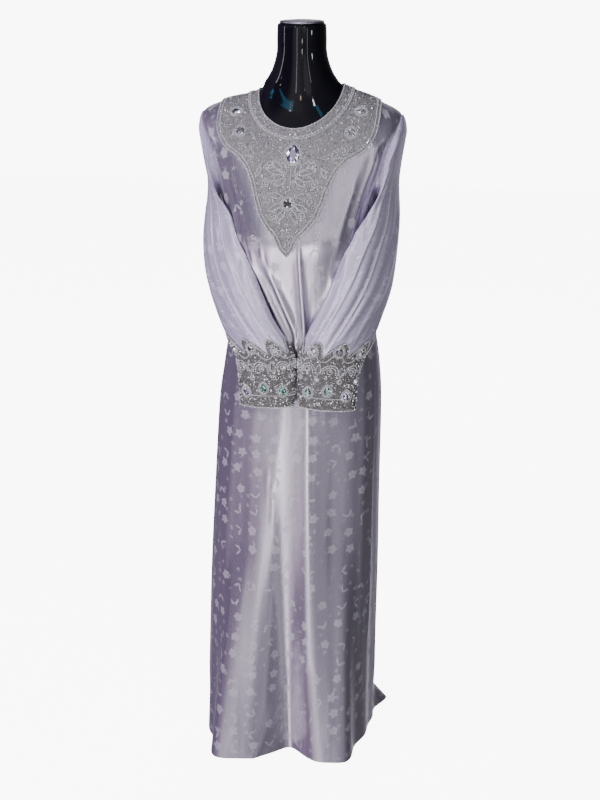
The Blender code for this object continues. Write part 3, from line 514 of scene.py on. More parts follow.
@dataclass
class SleeveShape:
    """The surface of one sleeve, from the armhole to the cuff's end."""

    side: Side
    body: BodyShape = field(default_factory=lambda: BodyShape(MAIN_FOLDS))
    underarm: float = 0.005
    underarm_row: float = 3.3
    underarm_across: float = -0.6
    underarm_width: float = 0.45
    edge_in: float = 0.013
    edge_in_row: float = 2.7
    edge_in_rows: float = 0.9
    front_power: float = 1.5

    def armhole(self, turn: np.ndarray, out: np.ndarray) -> np.ndarray:
        """The +X armhole's loop, a seam's gap inside the panels' edges, moved out by a distance."""
        rings = armhole_rings(turn)
        to_front = np.sin(turn) > 0
        cut = armhole_cut(rings, np.where(to_front, ARMHOLE_FRONT_CUT, ARMHOLE_BACK_CUT))
        angles = 90 - np.where(to_front, cut, -cut)
        points = self.body.points(angles, rings)
        out_way = self.body.normals(angles, rings)
        middle = self.body.points(np.array(ARMHOLE_MIDDLE), ARMHOLE_MIDDLE_RING).mean(axis=0)
        inwards = middle - points
        inwards = unit(inwards - out_way * (inwards * out_way).sum(axis=-1, keepdims=True))
        return points + inwards * SEAM + out_way * np.asarray(out)[..., None]

    def fold_lift(self, across: np.ndarray, outwards: np.ndarray, row: np.ndarray) -> np.ndarray:
        """How far the folds and the gathers over the cuff lift the outer face."""
        lift = np.zeros(np.broadcast(across, row).shape)
        for fold in SLEEVE_FOLDS:
            along = np.clip((row - fold.row_top) / (fold.row_bottom - fold.row_top), 0, 1)
            line = fold.across_top + (fold.across_bottom - fold.across_top) * along
            ends = np.sin(math.pi * along) ** SLEEVE_FOLD_ENDS
            lift = lift + fold.lift * ends * np.exp(-(((across - line) / fold.width) ** 2))
        lift = lift * ease(outwards * 2)
        angle = np.arctan2(across, outwards)
        edge = cuff_edge_row(angle) - GATHER_REACH
        rising = ease((row - GATHER_TOP_ROW) / (edge - GATHER_TOP_ROW)) ** GATHER_RISE
        ending = ease((edge + GATHER_PAST - row) / GATHER_FADE)
        sway = GATHER_SWAY * np.sin(GATHER_SWAYS * angle + GATHER_SWAY_START)
        wave = np.sin(GATHERS * angle + sway + GATHER_DRIFT * (row - GATHER_TOP_ROW))
        return lift + GATHER_LIFT * rising * ending * wave

    def crest(self, turn: np.ndarray, row: np.ndarray) -> np.ndarray:
        """Where highlights are painted along the tops of the crisp folds and of the front edge.

        Args:
            turn: Radians round the sleeve, pi / 2 at its front edge.
            row: Rows down the sleeve.

        Returns:
            For each place a number that is whole on a painted highlight's line, and that highlight's strength
            from 0 to 1.
        """
        crisp = [fold for fold in SLEEVE_FOLDS if fold.width < CRISP]
        lines = []
        for fold in sorted(crisp, key=lambda fold: fold.across_top):
            along = np.clip((row - fold.row_top) / (fold.row_bottom - fold.row_top), 0, 1)
            lines.append(np.arcsin(fold.across_top + (fold.across_bottom - fold.across_top) * along))
        lines.append(np.full(row.shape, SLEEVE_FRONT_LINE))
        angle = (turn + math.pi / 2) % (2 * math.pi) - math.pi / 2
        place = np.clip((angle - lines[0]) * CREST_ENDING, -0.5, 0)
        place = place + np.clip((angle - lines[-1]) * CREST_ENDING, 0, 0.5)
        for low, high in zip(lines, lines[1:]):
            place = place + np.clip((angle - low) / (high - low), 0, 1)
        strength = inside(row, CREST_ROWS, CREST_FADES)
        return np.stack([place, PAINTED_HIGHLIGHT_STRENGTH * strength * (angle < CREST_LAST_ANGLE)], axis=-1)

    def section(self, turn: np.ndarray, row: np.ndarray) -> np.ndarray:
        """Points of the free sections on the +X side, without the pinned shift."""
        names = [name for name in Station.__dataclass_fields__ if name != "name"]
        at = {name: curve_through(column(STATIONS, name), np.maximum(row - 1, 0)) for name in names}
        across, outwards = np.sin(turn), np.cos(turn)
        depth = np.sign(outwards) * np.abs(outwards) ** SLEEVE_EDGE_SHARPNESS
        front = np.stack([at["front_x"], at["front_y"], NECK_POINT - at["front_drop"]], axis=-1)
        back = np.stack([at["back_x"], at["back_y"], NECK_POINT - at["back_drop"]], axis=-1)
        half = (front - back) / 2
        out = unit(np.stack([-half[..., 1], half[..., 0], np.zeros_like(half[..., 0])], axis=-1))
        push = at["half_thick"] * depth + at["bow"] * (1 - across**2)
        push = push + self.fold_lift(across, outwards, row)
        aside = (across - self.underarm_across) / self.underarm_width
        hollow = np.exp(-((row - self.underarm_row) ** 2) - aside**2)
        push = push - self.underarm * np.maximum(-outwards, 0) * hollow
        points = (front + back) / 2 + half * across[..., None] + out * push[..., None]
        points[..., 2] += at["tilt"] * outwards
        return points

    def points(self, turn: np.ndarray, row: np.ndarray) -> np.ndarray:
        """Points of the outer face.

        Args:
            turn: Radians round the sleeve, 0 at the outer face's middle.
            row: Fractional row numbers, 0 at the armhole.

        Returns:
            The points, with X, Y and Z on the last axis.
        """
        turn, row = np.broadcast_arrays(np.asarray(turn, float), np.asarray(row, float))
        section = self.section(turn, np.maximum(row, 1.0))
        loop = self.armhole(turn, SLEEVE_LEAD * np.minimum(row, 1.0) - SOLID_CLOTH)
        share = ease((row - SLEEVE_LEAD_ROWS) / (1 - SLEEVE_LEAD_ROWS))[..., None]
        points = loop * (1 - share) + section * share
        pinned = curve_through(column(STATIONS, "pinned"), np.maximum(row - 1, 0))
        forward = curve_through(column(STATIONS, "forward"), np.maximum(row - 1, 0))
        front_share = ((1 + np.sin(turn)) / 2) ** self.front_power * np.minimum(row, 1.0)
        near_row = (row - self.edge_in_row) / self.edge_in_rows
        lying_in = self.edge_in * np.exp(-(near_row**2)) * front_share
        points[..., 0] = (points[..., 0] - lying_in) * self.side.value + pinned + forward * front_share
        return points

    def normals(self, turn: np.ndarray, row: np.ndarray) -> np.ndarray:
        """Unit normals of the outer face at turns and rows."""
        step_turn, step_row = 0.012, 0.012
        turn, row = np.broadcast_arrays(np.asarray(turn, float), np.asarray(row, float))
        low = self.points(turn, np.minimum(row + step_row, LAST_ROW))
        high = self.points(turn, np.maximum(row - step_row, 0))
        around = self.points(turn + step_turn, row) - self.points(turn - step_turn, row)
        return unit(np.cross(low - high, around) * -self.side.value)

    def moved_out(self, turn: np.ndarray, row: np.ndarray, out: float) -> np.ndarray:
        """Points of the outer face moved out by a distance along its normals."""
        return self.points(turn, row) + self.normals(turn, row) * out


def run_lengths(grid: np.ndarray) -> np.ndarray:
    """Distance along each row of a grid of points from its first column."""
    steps = np.linalg.norm(np.diff(grid, axis=1), axis=-1)
    return np.concatenate([np.zeros((len(grid), 1)), np.cumsum(steps, axis=1)], axis=1)


def closed_round(grid: np.ndarray) -> np.ndarray:
    """A grid of points with its first column again at the end."""
    return np.concatenate([grid, grid[:, :1]], axis=1)


def add_piece(
    name: str, points: np.ndarray, faces: list, node: str | None = None
) -> bpy.types.Object:
    """Adds a mesh that rides on the part's body.

    Args:
        name: The piece's name.
        points: Its points, one to a row.
        faces: Lists of point numbers.
        node: The solid that it stands for, if any.

    Returns:
        The new object.
    """
    mesh = bpy.data.meshes.new(name)
    mesh.from_pydata(np.asarray(points, float).tolist(), [], faces)
    mesh.update()
    made = bpy.data.objects.new(name, mesh)
    bpy.context.scene.collection.objects.link(made)
    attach(made, BODY)
    if node:
        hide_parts(node)
    return made


@dataclass
class ClothWall:
    """A thin wall of cloth between an outer grid of points and an inner one."""

    outer: np.ndarray
    inner: np.ndarray
    along: np.ndarray
    across: np.ndarray
    closed: bool
    turned: bool = False
    # Where highlights are painted: for each outer point a place across the fold tops and a strength
    crest: np.ndarray | None = None

    def faces(self) -> tuple[list, np.ndarray]:
        """The wall's quads, and the grid corner that each corner of a quad reads its map from."""
        rows, columns = self.outer.shape[:2]
        spans = columns if self.closed else columns - 1
        row, col = (part.ravel() for part in np.mgrid[0 : rows - 1, 0:spans])
        corners = [(row, col), (row + 1, col), (row + 1, col + 1), (row, col + 1)]
        outer = np.stack([r * columns + c % columns for r, c in corners], axis=1)
        maps = np.stack([r * (spans + 1) + c for r, c in corners], axis=1)
        count = rows * columns
        quads, quad_maps = [outer, (outer + count)[:, ::-1]], [maps, maps[:, ::-1]]
        rims = [(0, True, False), (rows - 1, True, True)]
        if not self.closed:
            rims += [(0, False, True), (columns - 1, False, False)]
        for number, is_row, reverse in rims:
            run = np.arange(spans if is_row else rows - 1)
            a = (np.full_like(run, number), run) if is_row else (run, np.full_like(run, number))
            b = (a[0], run + 1) if is_row else (run + 1, a[1])
            first, second = (p[0] * columns + p[1] % columns for p in (a, b))
            quad = np.stack([first, second, second + count, first + count], axis=1)
            flat = [p[0] * (spans + 1) + p[1] for p in (a, b, b, a)]
            rim_map = np.stack(flat, axis=1)
            quads.append(quad[:, ::-1] if reverse else quad)
            quad_maps.append(rim_map[:, ::-1] if reverse else rim_map)
        quads, quad_maps = np.concatenate(quads), np.concatenate(quad_maps)
        if self.turned:
            quads, quad_maps = quads[:, ::-1], quad_maps[:, ::-1]
        return quads.tolist(), quad_maps

    def build(self, name: str, slot: str, node: str, finish: bpy.types.Material) -> bpy.types.Object:
        """Adds the wall as a piece, smooth, with its cloth map in metres."""
        points = np.concatenate([self.outer.reshape(-1, 3), self.inner.reshape(-1, 3)])
        faces, maps = self.faces()
        piece = add_piece(name, points, faces, node)
        mesh = piece.data
        layer = mesh.uv_layers.new(name=CLOTH_MAP)
        flat = np.stack([self.across.ravel(), self.along.ravel()], axis=1)
        layer.data.foreach_set("uv", flat[maps.ravel()].ravel().astype(np.float32))
        # Stores the painted highlights' places and strengths as a vertex map
        if self.crest is not None:
            crest = np.zeros((len(mesh.vertices), 3), np.float32)
            crest[: self.crest[..., 0].size, :2] = self.crest.reshape(-1, 2)
            mesh.attributes.new(PAINTED_HIGHLIGHT_MAP, "FLOAT_VECTOR", "POINT").data.foreach_set("vector", crest.ravel())
        mesh.shade_smooth()
        mesh.set_sharp_from_angle(angle=math.radians(60))
        mesh.materials.append(finish)
        return piece


class Nodes:
    """A short way to add and join shader nodes in one tree."""

    def __init__(self, tree: bpy.types.NodeTree) -> None:
        """Keeps the tree."""
        self.tree = tree

    def add(self, kind: str, inputs: dict | None = None, **settings: object) -> bpy.types.Node:
        """Adds a node.

        Args:
            kind: Its type, without the ShaderNode in front.
            inputs: Values or sockets for its inputs, by name or number.
            **settings: Properties to set on it.

        Returns:
            The node.
        """
        node = self.tree.nodes.new("ShaderNode" + kind)
        for name, value in settings.items():
            setattr(node, name, value)
        return self.feed(node, inputs or {})

    def feed(self, node: bpy.types.Node, inputs: dict) -> bpy.types.Node:
        """Joins or sets a node's inputs, by name or number, and hands the node back."""
        for name, value in inputs.items():
            if isinstance(value, bpy.types.NodeSocket):
                self.tree.links.new(value, node.inputs[name])
            else:
                node.inputs[name].default_value = value
        return node

    def math(self, operation: str, a: object, b: object = 0.0, c: object = 0.0) -> bpy.types.NodeSocket:
        """A maths node's output."""
        return self.add("Math", {0: a, 1: b, 2: c}, operation=operation).outputs[0]

    def vector(self, operation: str, a: object, b: object) -> bpy.types.NodeSocket:
        """A vector maths node's output; for SCALE the second value is a number."""
        second = "Scale" if operation == "SCALE" else 1
        return self.add("VectorMath", {0: a, second: b}, operation=operation).outputs[0]

    def ramp(
        self, value: object, low: float, high: float, out_low: float = 0.0, out_high: float = 1.0
    ) -> bpy.types.NodeSocket:
        """A value carried smoothly from one range to another."""
        names = {"Value": value, "From Min": low, "From Max": high, "To Min": out_low, "To Max": out_high}
        return self.add("MapRange", names, interpolation_type="SMOOTHSTEP").outputs["Result"]

    def bump(
        self, height: object, strength: float, distance: float, over: bpy.types.NodeSocket | None = None
    ) -> bpy.types.NodeSocket:
        """A surface raised by a height, over another such surface if one is given."""
        inputs = {"Height": height, "Strength": strength, "Distance": distance}
        if over is not None:
            inputs["Normal"] = over
        return self.add("Bump", inputs).outputs[0]

    def mix(self, share: object, a: object, b: object) -> bpy.types.NodeSocket:
        """Two colours mixed by a share."""
        return self.add("Mix", {0: share, 6: a, 7: b}, data_type="RGBA").outputs[2]

    def group(self, tree: bpy.types.NodeTree, inputs: dict) -> bpy.types.Node:
        """Places a node group with its inputs."""
        return self.add("Group", inputs, node_tree=tree)


def shade(colour: Colour, share: float) -> Colour:
    """A colour made darker by a share below 1, or lighter by one above."""
    return tuple(share * part for part in colour[:3]) + (1.0,)


def new_group(
    name: str, inputs: dict[str, object], outputs: dict[str, str]
) -> tuple[Nodes, dict, bpy.types.Node]:
    """Starts a shader node group.

    Args:
        name: The group's name.
        inputs: Default values by name; a tuple of three is a vector and of four a colour.
        outputs: Socket kinds by name.

    Returns:
        The group's nodes, its input sockets by name, and its output node.
    """
    tree = bpy.data.node_groups.new(name, "ShaderNodeTree")
    kinds = {float: "NodeSocketFloat", 3: "NodeSocketVector", 4: "NodeSocketColor"}
    for label, value in inputs.items():
        kind = kinds[float] if isinstance(value, float) else kinds[len(value)]
        socket = tree.interface.new_socket(label, in_out="INPUT", socket_type=kind)
        socket.default_value = value
    for label, kind in outputs.items():
        tree.interface.new_socket(label, in_out="OUTPUT", socket_type=kind)
    nodes = Nodes(tree)
    start = tree.nodes.new("NodeGroupInput")
    end = tree.nodes.new("NodeGroupOutput")
    return nodes, {label: start.outputs[label] for label in inputs}, end


def sprig_group() -> bpy.types.NodeTree:
    """The woven flowers and leaves, scattered one to a cell, each turned its own way."""
    nodes, given, end = new_group(
        "woven_sprigs",
        {"Cloth": (0.0, 0.0, 0.0), "Cell": 0.04, "Size": 0.008, "Shift": 0.0, "Kept": 1.0},
        {"Mask": "NodeSocketFloat"},
    )
    scaled = nodes.vector("SCALE", given["Cloth"], nodes.math("DIVIDE", 1.0, given["Cell"]))
    shift = nodes.add("CombineXYZ", {0: given["Shift"], 1: given["Shift"]}).outputs[0]
    moved = nodes.vector("ADD", scaled, shift)
    spread = {"Vector": moved, "Scale": 1.0, "Randomness": 0.55}
    cells = nodes.add("TexVoronoi", spread, voronoi_dimensions="2D")
    local = nodes.vector("SUBTRACT", moved, cells.outputs["Position"])
    wobble = nodes.add("TexNoise", {"Vector": given["Cloth"], "Scale": 130.0, "Detail": 1.0})
    bent = nodes.vector("SCALE", nodes.vector("SUBTRACT", wobble.outputs["Color"], (0.5, 0.5, 0.5)), 0.007)
    metric = nodes.vector("ADD", nodes.vector("SCALE", local, given["Cell"]), bent)
    chance = nodes.add("SeparateColor", {0: cells.outputs["Color"]})
    spin = nodes.math("MULTIPLY", chance.outputs[0], 2 * math.pi)
    turned = nodes.add("VectorRotate", {"Vector": metric, "Angle": spin}, rotation_type="Z_AXIS")
    flat = nodes.add("SeparateXYZ", {0: turned.outputs[0]})
    x, y = flat.outputs[0], flat.outputs[1]
    far = nodes.math("SQRT", nodes.math("MULTIPLY_ADD", x, x, nodes.math("MULTIPLY", y, y)))
    theta = nodes.math("ARCTAN2", y, x)
    petals = nodes.math("MULTIPLY_ADD", nodes.math("COSINE", nodes.math("MULTIPLY", theta, 5.0)), 0.15, 0.80)
    edge = nodes.math("SUBTRACT", nodes.math("DIVIDE", far, given["Size"]), petals)
    flower = nodes.ramp(edge, 0.0, 0.24, 1.0, 0.0)
    eye = nodes.ramp(nodes.math("DIVIDE", far, given["Size"]), 0.08, 0.26, 0.65, 1.0)
    flower = nodes.math("MULTIPLY", flower, eye)
    leaf_x = nodes.math("SUBTRACT", nodes.math("ABSOLUTE", x), nodes.math("MULTIPLY", given["Size"], 0.55))
    leaf_y = nodes.math("SUBTRACT", y, nodes.math("MULTIPLY", nodes.math("ABSOLUTE", x), 0.9))
    wide, tall = nodes.math("MULTIPLY", given["Size"], 0.62), nodes.math("MULTIPLY", given["Size"], 0.34)
    ring_x, ring_y = nodes.math("DIVIDE", leaf_x, wide), nodes.math("DIVIDE", leaf_y, tall)
    leaf_far = nodes.math("MULTIPLY_ADD", ring_x, ring_x, nodes.math("MULTIPLY", ring_y, ring_y))
    leaves = nodes.ramp(leaf_far, 0.75, 1.15, 1.0, 0.0)
    is_leaf = nodes.math("GREATER_THAN", chance.outputs[1], 0.55)
    kind = nodes.add("Mix", {0: is_leaf, 2: flower, 3: leaves}, data_type="FLOAT")
    kept = nodes.math("LESS_THAN", chance.outputs[2], given["Kept"])
    nodes.feed(end, {"Mask": nodes.math("MULTIPLY", kind.outputs[0], kept)})
    return nodes.tree


def weave_group() -> bpy.types.NodeTree:
    """Fine satin threads: streaks along the warp and a small height for bump."""
    nodes, given, end = new_group(
        "satin_threads",
        {"Cloth": (0.0, 0.0, 0.0), "Thread": 0.0006, "Rumple": 0.03},
        {"Streak": "NodeSocketFloat", "Height": "NodeSocketFloat", "Rumples": "NodeSocketFloat"},
    )
    stretch = nodes.vector("MULTIPLY", given["Cloth"], (1.0, 0.06, 1.0))
    hanging = nodes.vector("MULTIPLY", given["Cloth"], (1.0, 0.22, 1.0))
    per_thread = nodes.math("DIVIDE", 1.0, given["Thread"])
    per_rumple = nodes.math("DIVIDE", 1.0, given["Rumple"])
    noises = {
        "Streak": {"Vector": stretch, "Scale": 90.0, "Detail": 3.0},
        "Height": {"Vector": stretch, "Scale": per_thread, "Detail": 2.0},
        "Rumples": {"Vector": hanging, "Scale": per_rumple, "Detail": 3.0, "Distortion": 0.6},
    }
    for name, inputs in noises.items():
        nodes.feed(end, {name: nodes.add("TexNoise", inputs).outputs[0]})
    return nodes.tree


def facet_group() -> bpy.types.NodeTree:
    """Each bead's own small difference of colour and polish."""
    nodes, given, end = new_group(
        "bead_variety",
        {"Base": (0.6, 0.6, 0.6, 1.0), "Other": (0.5, 0.5, 0.6, 1.0), "Bright": (0.9, 0.9, 0.9, 1.0)},
        {"Color": "NodeSocketColor", "Polish": "NodeSocketFloat"},
    )
    island = nodes.add("NewGeometry").outputs["Random Per Island"]
    white = nodes.add("TexWhiteNoise", {"W": nodes.math("MULTIPLY", island, 97.0)}, noise_dimensions="1D")
    first = nodes.mix(nodes.ramp(island, 0.2, 0.8), given["Base"], given["Other"])
    colour = nodes.mix(nodes.ramp(white.outputs["Value"], 0.62, 0.84), first, given["Bright"])
    nodes.feed(end, {"Color": colour, "Polish": white.outputs["Value"]})
    return nodes.tree


def cut_group() -> bpy.types.NodeTree:
    """Painted reflections of cut facets: a colour painted light or dark, a polish, and a painted glint that
    glows, one value to each flat face.
    """
    nodes, given, end = new_group(
        "cut_facets",
        {"Light": (0.9, 0.9, 0.9, 1.0), "Dark": (0.1, 0.1, 0.1, 1.0)},
        {"Color": "NodeSocketColor", "Polish": "NodeSocketFloat", "Flash": "NodeSocketColor"},
    )
    shape = nodes.add("NewGeometry")
    facet = nodes.vector("SNAP", shape.outputs["True Normal"], (0.02, 0.02, 0.02))
    chance = nodes.add("TexWhiteNoise", {"Vector": facet}).outputs["Value"]
    # Painted reflection: each facet is painted in the light or the dark colour by chance
    colour = nodes.mix(nodes.ramp(chance, 0.25, 0.85), given["Dark"], given["Light"])
    # Painted glint: the facets with the highest chance glow in the light colour
    flash = nodes.mix(nodes.ramp(chance, 0.80, 0.86), (0.0, 0.0, 0.0, 1.0), given["Light"])
    nodes.feed(end, {"Color": colour, "Polish": nodes.ramp(chance, 0.0, 1.0, 0.10, 0.03), "Flash": flash})
    return nodes.tree


def new_material(name: str) -> tuple[bpy.types.Material, Nodes, bpy.types.Node]:
    """A new material, its nodes and its Principled BSDF."""
    material = bpy.data.materials.new(name)
    material.use_nodes = True
    return material, Nodes(material.node_tree), material.node_tree.nodes["Principled BSDF"]


@dataclass(frozen=True)
class SatinFinish:
    """Silver-lilac satin with woven sprigs that are less metallic and rougher than the ground, and a
    near-white highlight painted along the tops of crisp folds.
    """

    name: str
    ground: Colour
    sprig: Colour
    metallic: float = 0.86
    roughness: float = 0.28
    sprig_cell: float = 0.042
    sprig_size: float = 0.0102
    sprig_share: float = 0.60
    # The near-white colour of the highlight painted along fold tops, and how far to each side of a top it
    # reaches
    crest: Colour = (0.97, 0.95, 0.99, 1.0)
    painted_highlight_width: float = 0.085

    def build(self, sprigs: bpy.types.NodeTree, threads: bpy.types.NodeTree) -> bpy.types.Material:
        """Makes the material from the shared groups."""
        material, nodes, shader = new_material(self.name)
        cloth = nodes.add("UVMap", uv_map=CLOTH_MAP).outputs[0]
        cell, size = self.sprig_cell, self.sprig_size
        large = nodes.group(sprigs, {"Cloth": cloth, "Cell": cell, "Size": size, "Kept": 0.86})
        lesser = {"Cloth": cloth, "Cell": cell * 0.52, "Size": size * 0.46, "Shift": 7.3, "Kept": 0.42}
        small = nodes.math("MULTIPLY", nodes.group(sprigs, lesser).outputs["Mask"], 0.7)
        mask = nodes.math("MAXIMUM", large.outputs["Mask"], small)
        weave = nodes.group(threads, {"Cloth": cloth})
        streak = nodes.ramp(weave.outputs["Streak"], 0.3, 0.7, 0.0, 0.12)
        streaked = nodes.mix(streak, self.ground, shade(self.ground, 0.86))
        mask = nodes.math("MULTIPLY", mask, self.sprig_share)
        # Painted highlight: along the fold tops in the vertex map the colour is mixed towards near white, the
        # sprigs fade and the cloth is made less metallic
        known = nodes.add("Attribute", attribute_name=PAINTED_HIGHLIGHT_MAP).outputs["Vector"]
        known = nodes.add("SeparateXYZ", {0: known})
        aside = nodes.math("PINGPONG", nodes.math("ABSOLUTE", known.outputs[0]), 0.5)
        crest = nodes.math("MULTIPLY", nodes.ramp(aside, 0.01, self.painted_highlight_width, 1.0, 0.0), known.outputs[1])
        mask = nodes.math("MULTIPLY", mask, nodes.ramp(crest, 0.0, 1.0, 1.0, 0.3))
        colour = nodes.mix(mask, streaked, self.sprig)
        colour = nodes.mix(nodes.math("MULTIPLY", crest, 0.9), colour, self.crest)
        metallic = nodes.ramp(mask, 0.0, 1.0, self.metallic, self.metallic * 0.25)
        metallic = nodes.math("MULTIPLY", metallic, nodes.ramp(crest, 0.0, 1.0, 1.0, 0.6))
        gloss = nodes.ramp(weave.outputs["Streak"], 0.25, 0.75, self.roughness - 0.01, self.roughness + 0.015)
        rough = nodes.math("ADD", gloss, nodes.math("MULTIPLY", mask, 0.22))
        bump = nodes.bump(weave.outputs["Rumples"], 0.22, 0.004)
        bump = nodes.bump(weave.outputs["Height"], 0.12, 0.0003, bump)
        bump = nodes.bump(mask, 0.25, 0.0004, bump)
        nodes.feed(shader, {"Base Color": colour, "Metallic": metallic, "Roughness": rough, "Normal": bump})
        nodes.feed(shader, {"Sheen Weight": 0.06, "Sheen Roughness": 0.4})
        return material


@dataclass(frozen=True)
class BeadFinish:
    """Small silver beads, each a little different."""

    name: str
    base: Colour
    other: Colour
    bright: Colour
    metallic: float = 0.90
    roughness: float = 0.17

    def build(self, variety: bpy.types.NodeTree) -> bpy.types.Material:
        """Makes the material from the shared group."""
        material, nodes, shader = new_material(self.name)
        mixed = nodes.group(variety, {"Base": self.base, "Other": self.other, "Bright": self.bright})
        rough = nodes.ramp(mixed.outputs["Polish"], 0.0, 1.0, self.roughness + 0.14, self.roughness - 0.08)
        colour = mixed.outputs["Color"]
        nodes.feed(shader, {"Base Color": colour, "Roughness": rough, "Metallic": self.metallic})
        return material


@dataclass(frozen=True)
class CrystalFinish:
    """Foil-backed cut glass with painted reflections: each facet is painted light or dark, and some facets
    glow as painted glints.
    """

    name: str
    light: Colour
    dark: Colour
    # How brightly the painted glints glow
    flash: float = 1.6

    def build(self, facets: bpy.types.NodeTree) -> bpy.types.Material:
        """Makes the material from the shared group."""
        material, nodes, shader = new_material(self.name)
        face = nodes.group(facets, {"Light": self.light, "Dark": self.dark})
        nodes.feed(shader, {"Base Color": face.outputs["Color"], "Roughness": face.outputs["Polish"]})
        # The painted glints glow through emission
        nodes.feed(shader, {"Emission Color": face.outputs["Flash"], "Emission Strength": self.flash})
        nodes.feed(shader, {"Metallic": 0.85, "Coat Weight": 1.0, "Coat Roughness": 0.02})
        return material


@dataclass(frozen=True)
class NetFinish:
    """The grey net that the beads are sewn to."""

    name: str = "bead_net"
    colour: Colour = (0.26, 0.25, 0.25, 1.0)

    def build(self) -> bpy.types.Material:
        """Makes the material."""
        material, nodes, shader = new_material(self.name)
        place = nodes.add("TexCoord").outputs["Object"]
        grain = nodes.add("TexVoronoi", {"Vector": place, "Scale": 620.0}).outputs["Distance"]
        colour = nodes.mix(grain, shade(self.colour, 1.7), self.colour)
        bump = nodes.bump(grain, 0.8, 0.0008)
        nodes.feed(shader, {"Base Color": colour, "Metallic": 0.35, "Roughness": 0.55, "Normal": bump})
        return material


@dataclass(frozen=True)
class GlossFinish:
    """Black lacquer with the faint waviness and dust of a shop form."""

    name: str = "form_gloss_black"
    colour: Colour = (0.004, 0.004, 0.006, 1.0)
    roughness: float = 0.045

    def build(self) -> bpy.types.Material:
        """Makes the material."""
        material, nodes, shader = new_material(self.name)
        place = nodes.add("TexCoord").outputs["Object"]
        smear = nodes.add("TexNoise", {"Vector": place, "Scale": 14.0, "Detail": 5.0})
        specks = nodes.add("TexNoise", {"Vector": place, "Scale": 900.0, "Detail": 1.0})
        dust = nodes.ramp(specks.outputs[0], 0.70, 0.78, 0.0, 0.05)
        colour = nodes.mix(dust, self.colour, (0.25, 0.25, 0.26, 1.0))
        rough = nodes.ramp(smear.outputs[0], 0.35, 0.70, self.roughness - 0.015, self.roughness + 0.02)
        wave = nodes.bump(smear.outputs[0], 0.02, 0.002)
        nodes.feed(shader, {"Base Color": colour, "Roughness": rough, "Normal": wave})
        nodes.feed(shader, {"Specular IOR Level": 0.30})
        return material


@dataclass(frozen=True)
class MetalFinish:
    """Turned metal with fine rings and small scuffs."""

    name: str
    colour: Colour
    roughness: float

    def build(self) -> bpy.types.Material:
        """Makes the material."""
        material, nodes, shader = new_material(self.name)
        place = nodes.add("TexCoord").outputs["Object"]
        stretch = nodes.vector("MULTIPLY", place, (1.0, 1.0, 24.0))
        brushed = nodes.add("TexNoise", {"Vector": stretch, "Scale": 60.0, "Detail": 4.0}).outputs[0]
        scuff = nodes.add("TexNoise", {"Vector": place, "Scale": 30.0, "Detail": 6.0}).outputs[0]
        colour = nodes.mix(nodes.ramp(scuff, 0.45, 0.75), self.colour, shade(self.colour, 0.72))
        rough = nodes.ramp(brushed, 0.3, 0.7, self.roughness - 0.06, self.roughness + 0.10)
        bump = nodes.bump(brushed, 0.10, 0.0004)
        nodes.feed(shader, {"Base Color": colour, "Roughness": rough, "Metallic": 1.0, "Normal": bump})
        return material


BEADS = (
    BeadFinish("seed_beads", (0.62, 0.61, 0.60, 1.0), (0.30, 0.29, 0.29, 1.0), (0.95, 0.95, 0.97, 1.0)),
    BeadFinish("fill_beads", (0.40, 0.385, 0.365, 1.0), (0.11, 0.10, 0.10, 1.0), (0.97, 0.96, 0.96, 1.0)),
    BeadFinish("dim_beads", (0.30, 0.29, 0.275, 1.0), (0.08, 0.075, 0.075, 1.0), (0.90, 0.89, 0.89, 1.0)),
    BeadFinish(
        "bright_beads",
        (0.95, 0.94, 0.94, 1.0),
        (0.84, 0.83, 0.85, 1.0),
        (0.99, 0.99, 1.00, 1.0),
        metallic=0.62,
    ),
)
SATIN = SatinFinish("satin_lilac", (0.59, 0.54, 0.63, 1.0), (0.50, 0.47, 0.53, 1.0))
# The sleeves' copy of the satin, painted lighter and more lilac than the dress's as painted light, since the
# sleeves catch more light than the shaded bodice; it is also less metallic and a little smoother
LIT_SLEEVE_SATIN = SatinFinish("satin_sleeve", (0.71, 0.64, 0.84, 1.0), (0.61, 0.56, 0.66, 1.0), 0.50, 0.24)
# Each stone's own colour, painted light and dark on its facets as stand-in reflections
CRYSTALS = {
    "clear": ((0.92, 0.92, 0.95, 1.0), (0.20, 0.20, 0.22, 1.0)),
    "violet": ((0.80, 0.76, 0.92, 1.0), (0.22, 0.18, 0.32, 1.0)),
    "green": ((0.55, 0.85, 0.72, 1.0), (0.04, 0.20, 0.14, 1.0)),
    "smoke": ((0.70, 0.68, 0.70, 1.0), (0.05, 0.05, 0.06, 1.0)),
}


@dataclass
class Materials:
    """Every finish of the part, made once."""

    satin: bpy.types.Material = field(init=False)
    # The satin painted lighter for the sleeves
    sleeve: bpy.types.Material = field(init=False)
    seed: bpy.types.Material = field(init=False)
    fill: bpy.types.Material = field(init=False)
    dim: bpy.types.Material = field(init=False)
    bright: bpy.types.Material = field(init=False)
    net: bpy.types.Material = field(init=False)
    cuff_net: bpy.types.Material = field(init=False)
    gloss: bpy.types.Material = field(init=False)
    cap: bpy.types.Material = field(init=False)
    steel: bpy.types.Material = field(init=False)
    crystals: dict = field(default_factory=dict)

    def __post_init__(self) -> None:
        """Builds the shared groups and the materials."""
        sprigs, threads, variety, facets = sprig_group(), weave_group(), facet_group(), cut_group()
        self.satin = SATIN.build(sprigs, threads)
        self.sleeve = LIT_SLEEVE_SATIN.build(sprigs, threads)
        for finish in BEADS:
            setattr(self, finish.name.split("_")[0], finish.build(variety))
        for name, (light, dark) in CRYSTALS.items():
            self.crystals[name] = CrystalFinish(f"crystal_{name}", light, dark).build(facets)
        self.net = NetFinish().build()
        self.cuff_net = NetFinish("cuff_net", (0.13, 0.125, 0.12, 1.0)).build()
        self.gloss = GlossFinish().build()
        self.cap = MetalFinish("cap_metal", (0.62, 0.61, 0.66, 1.0), 0.34).build()
        self.steel = MetalFinish("stand_steel", (0.56, 0.57, 0.60, 1.0), 0.26).build()


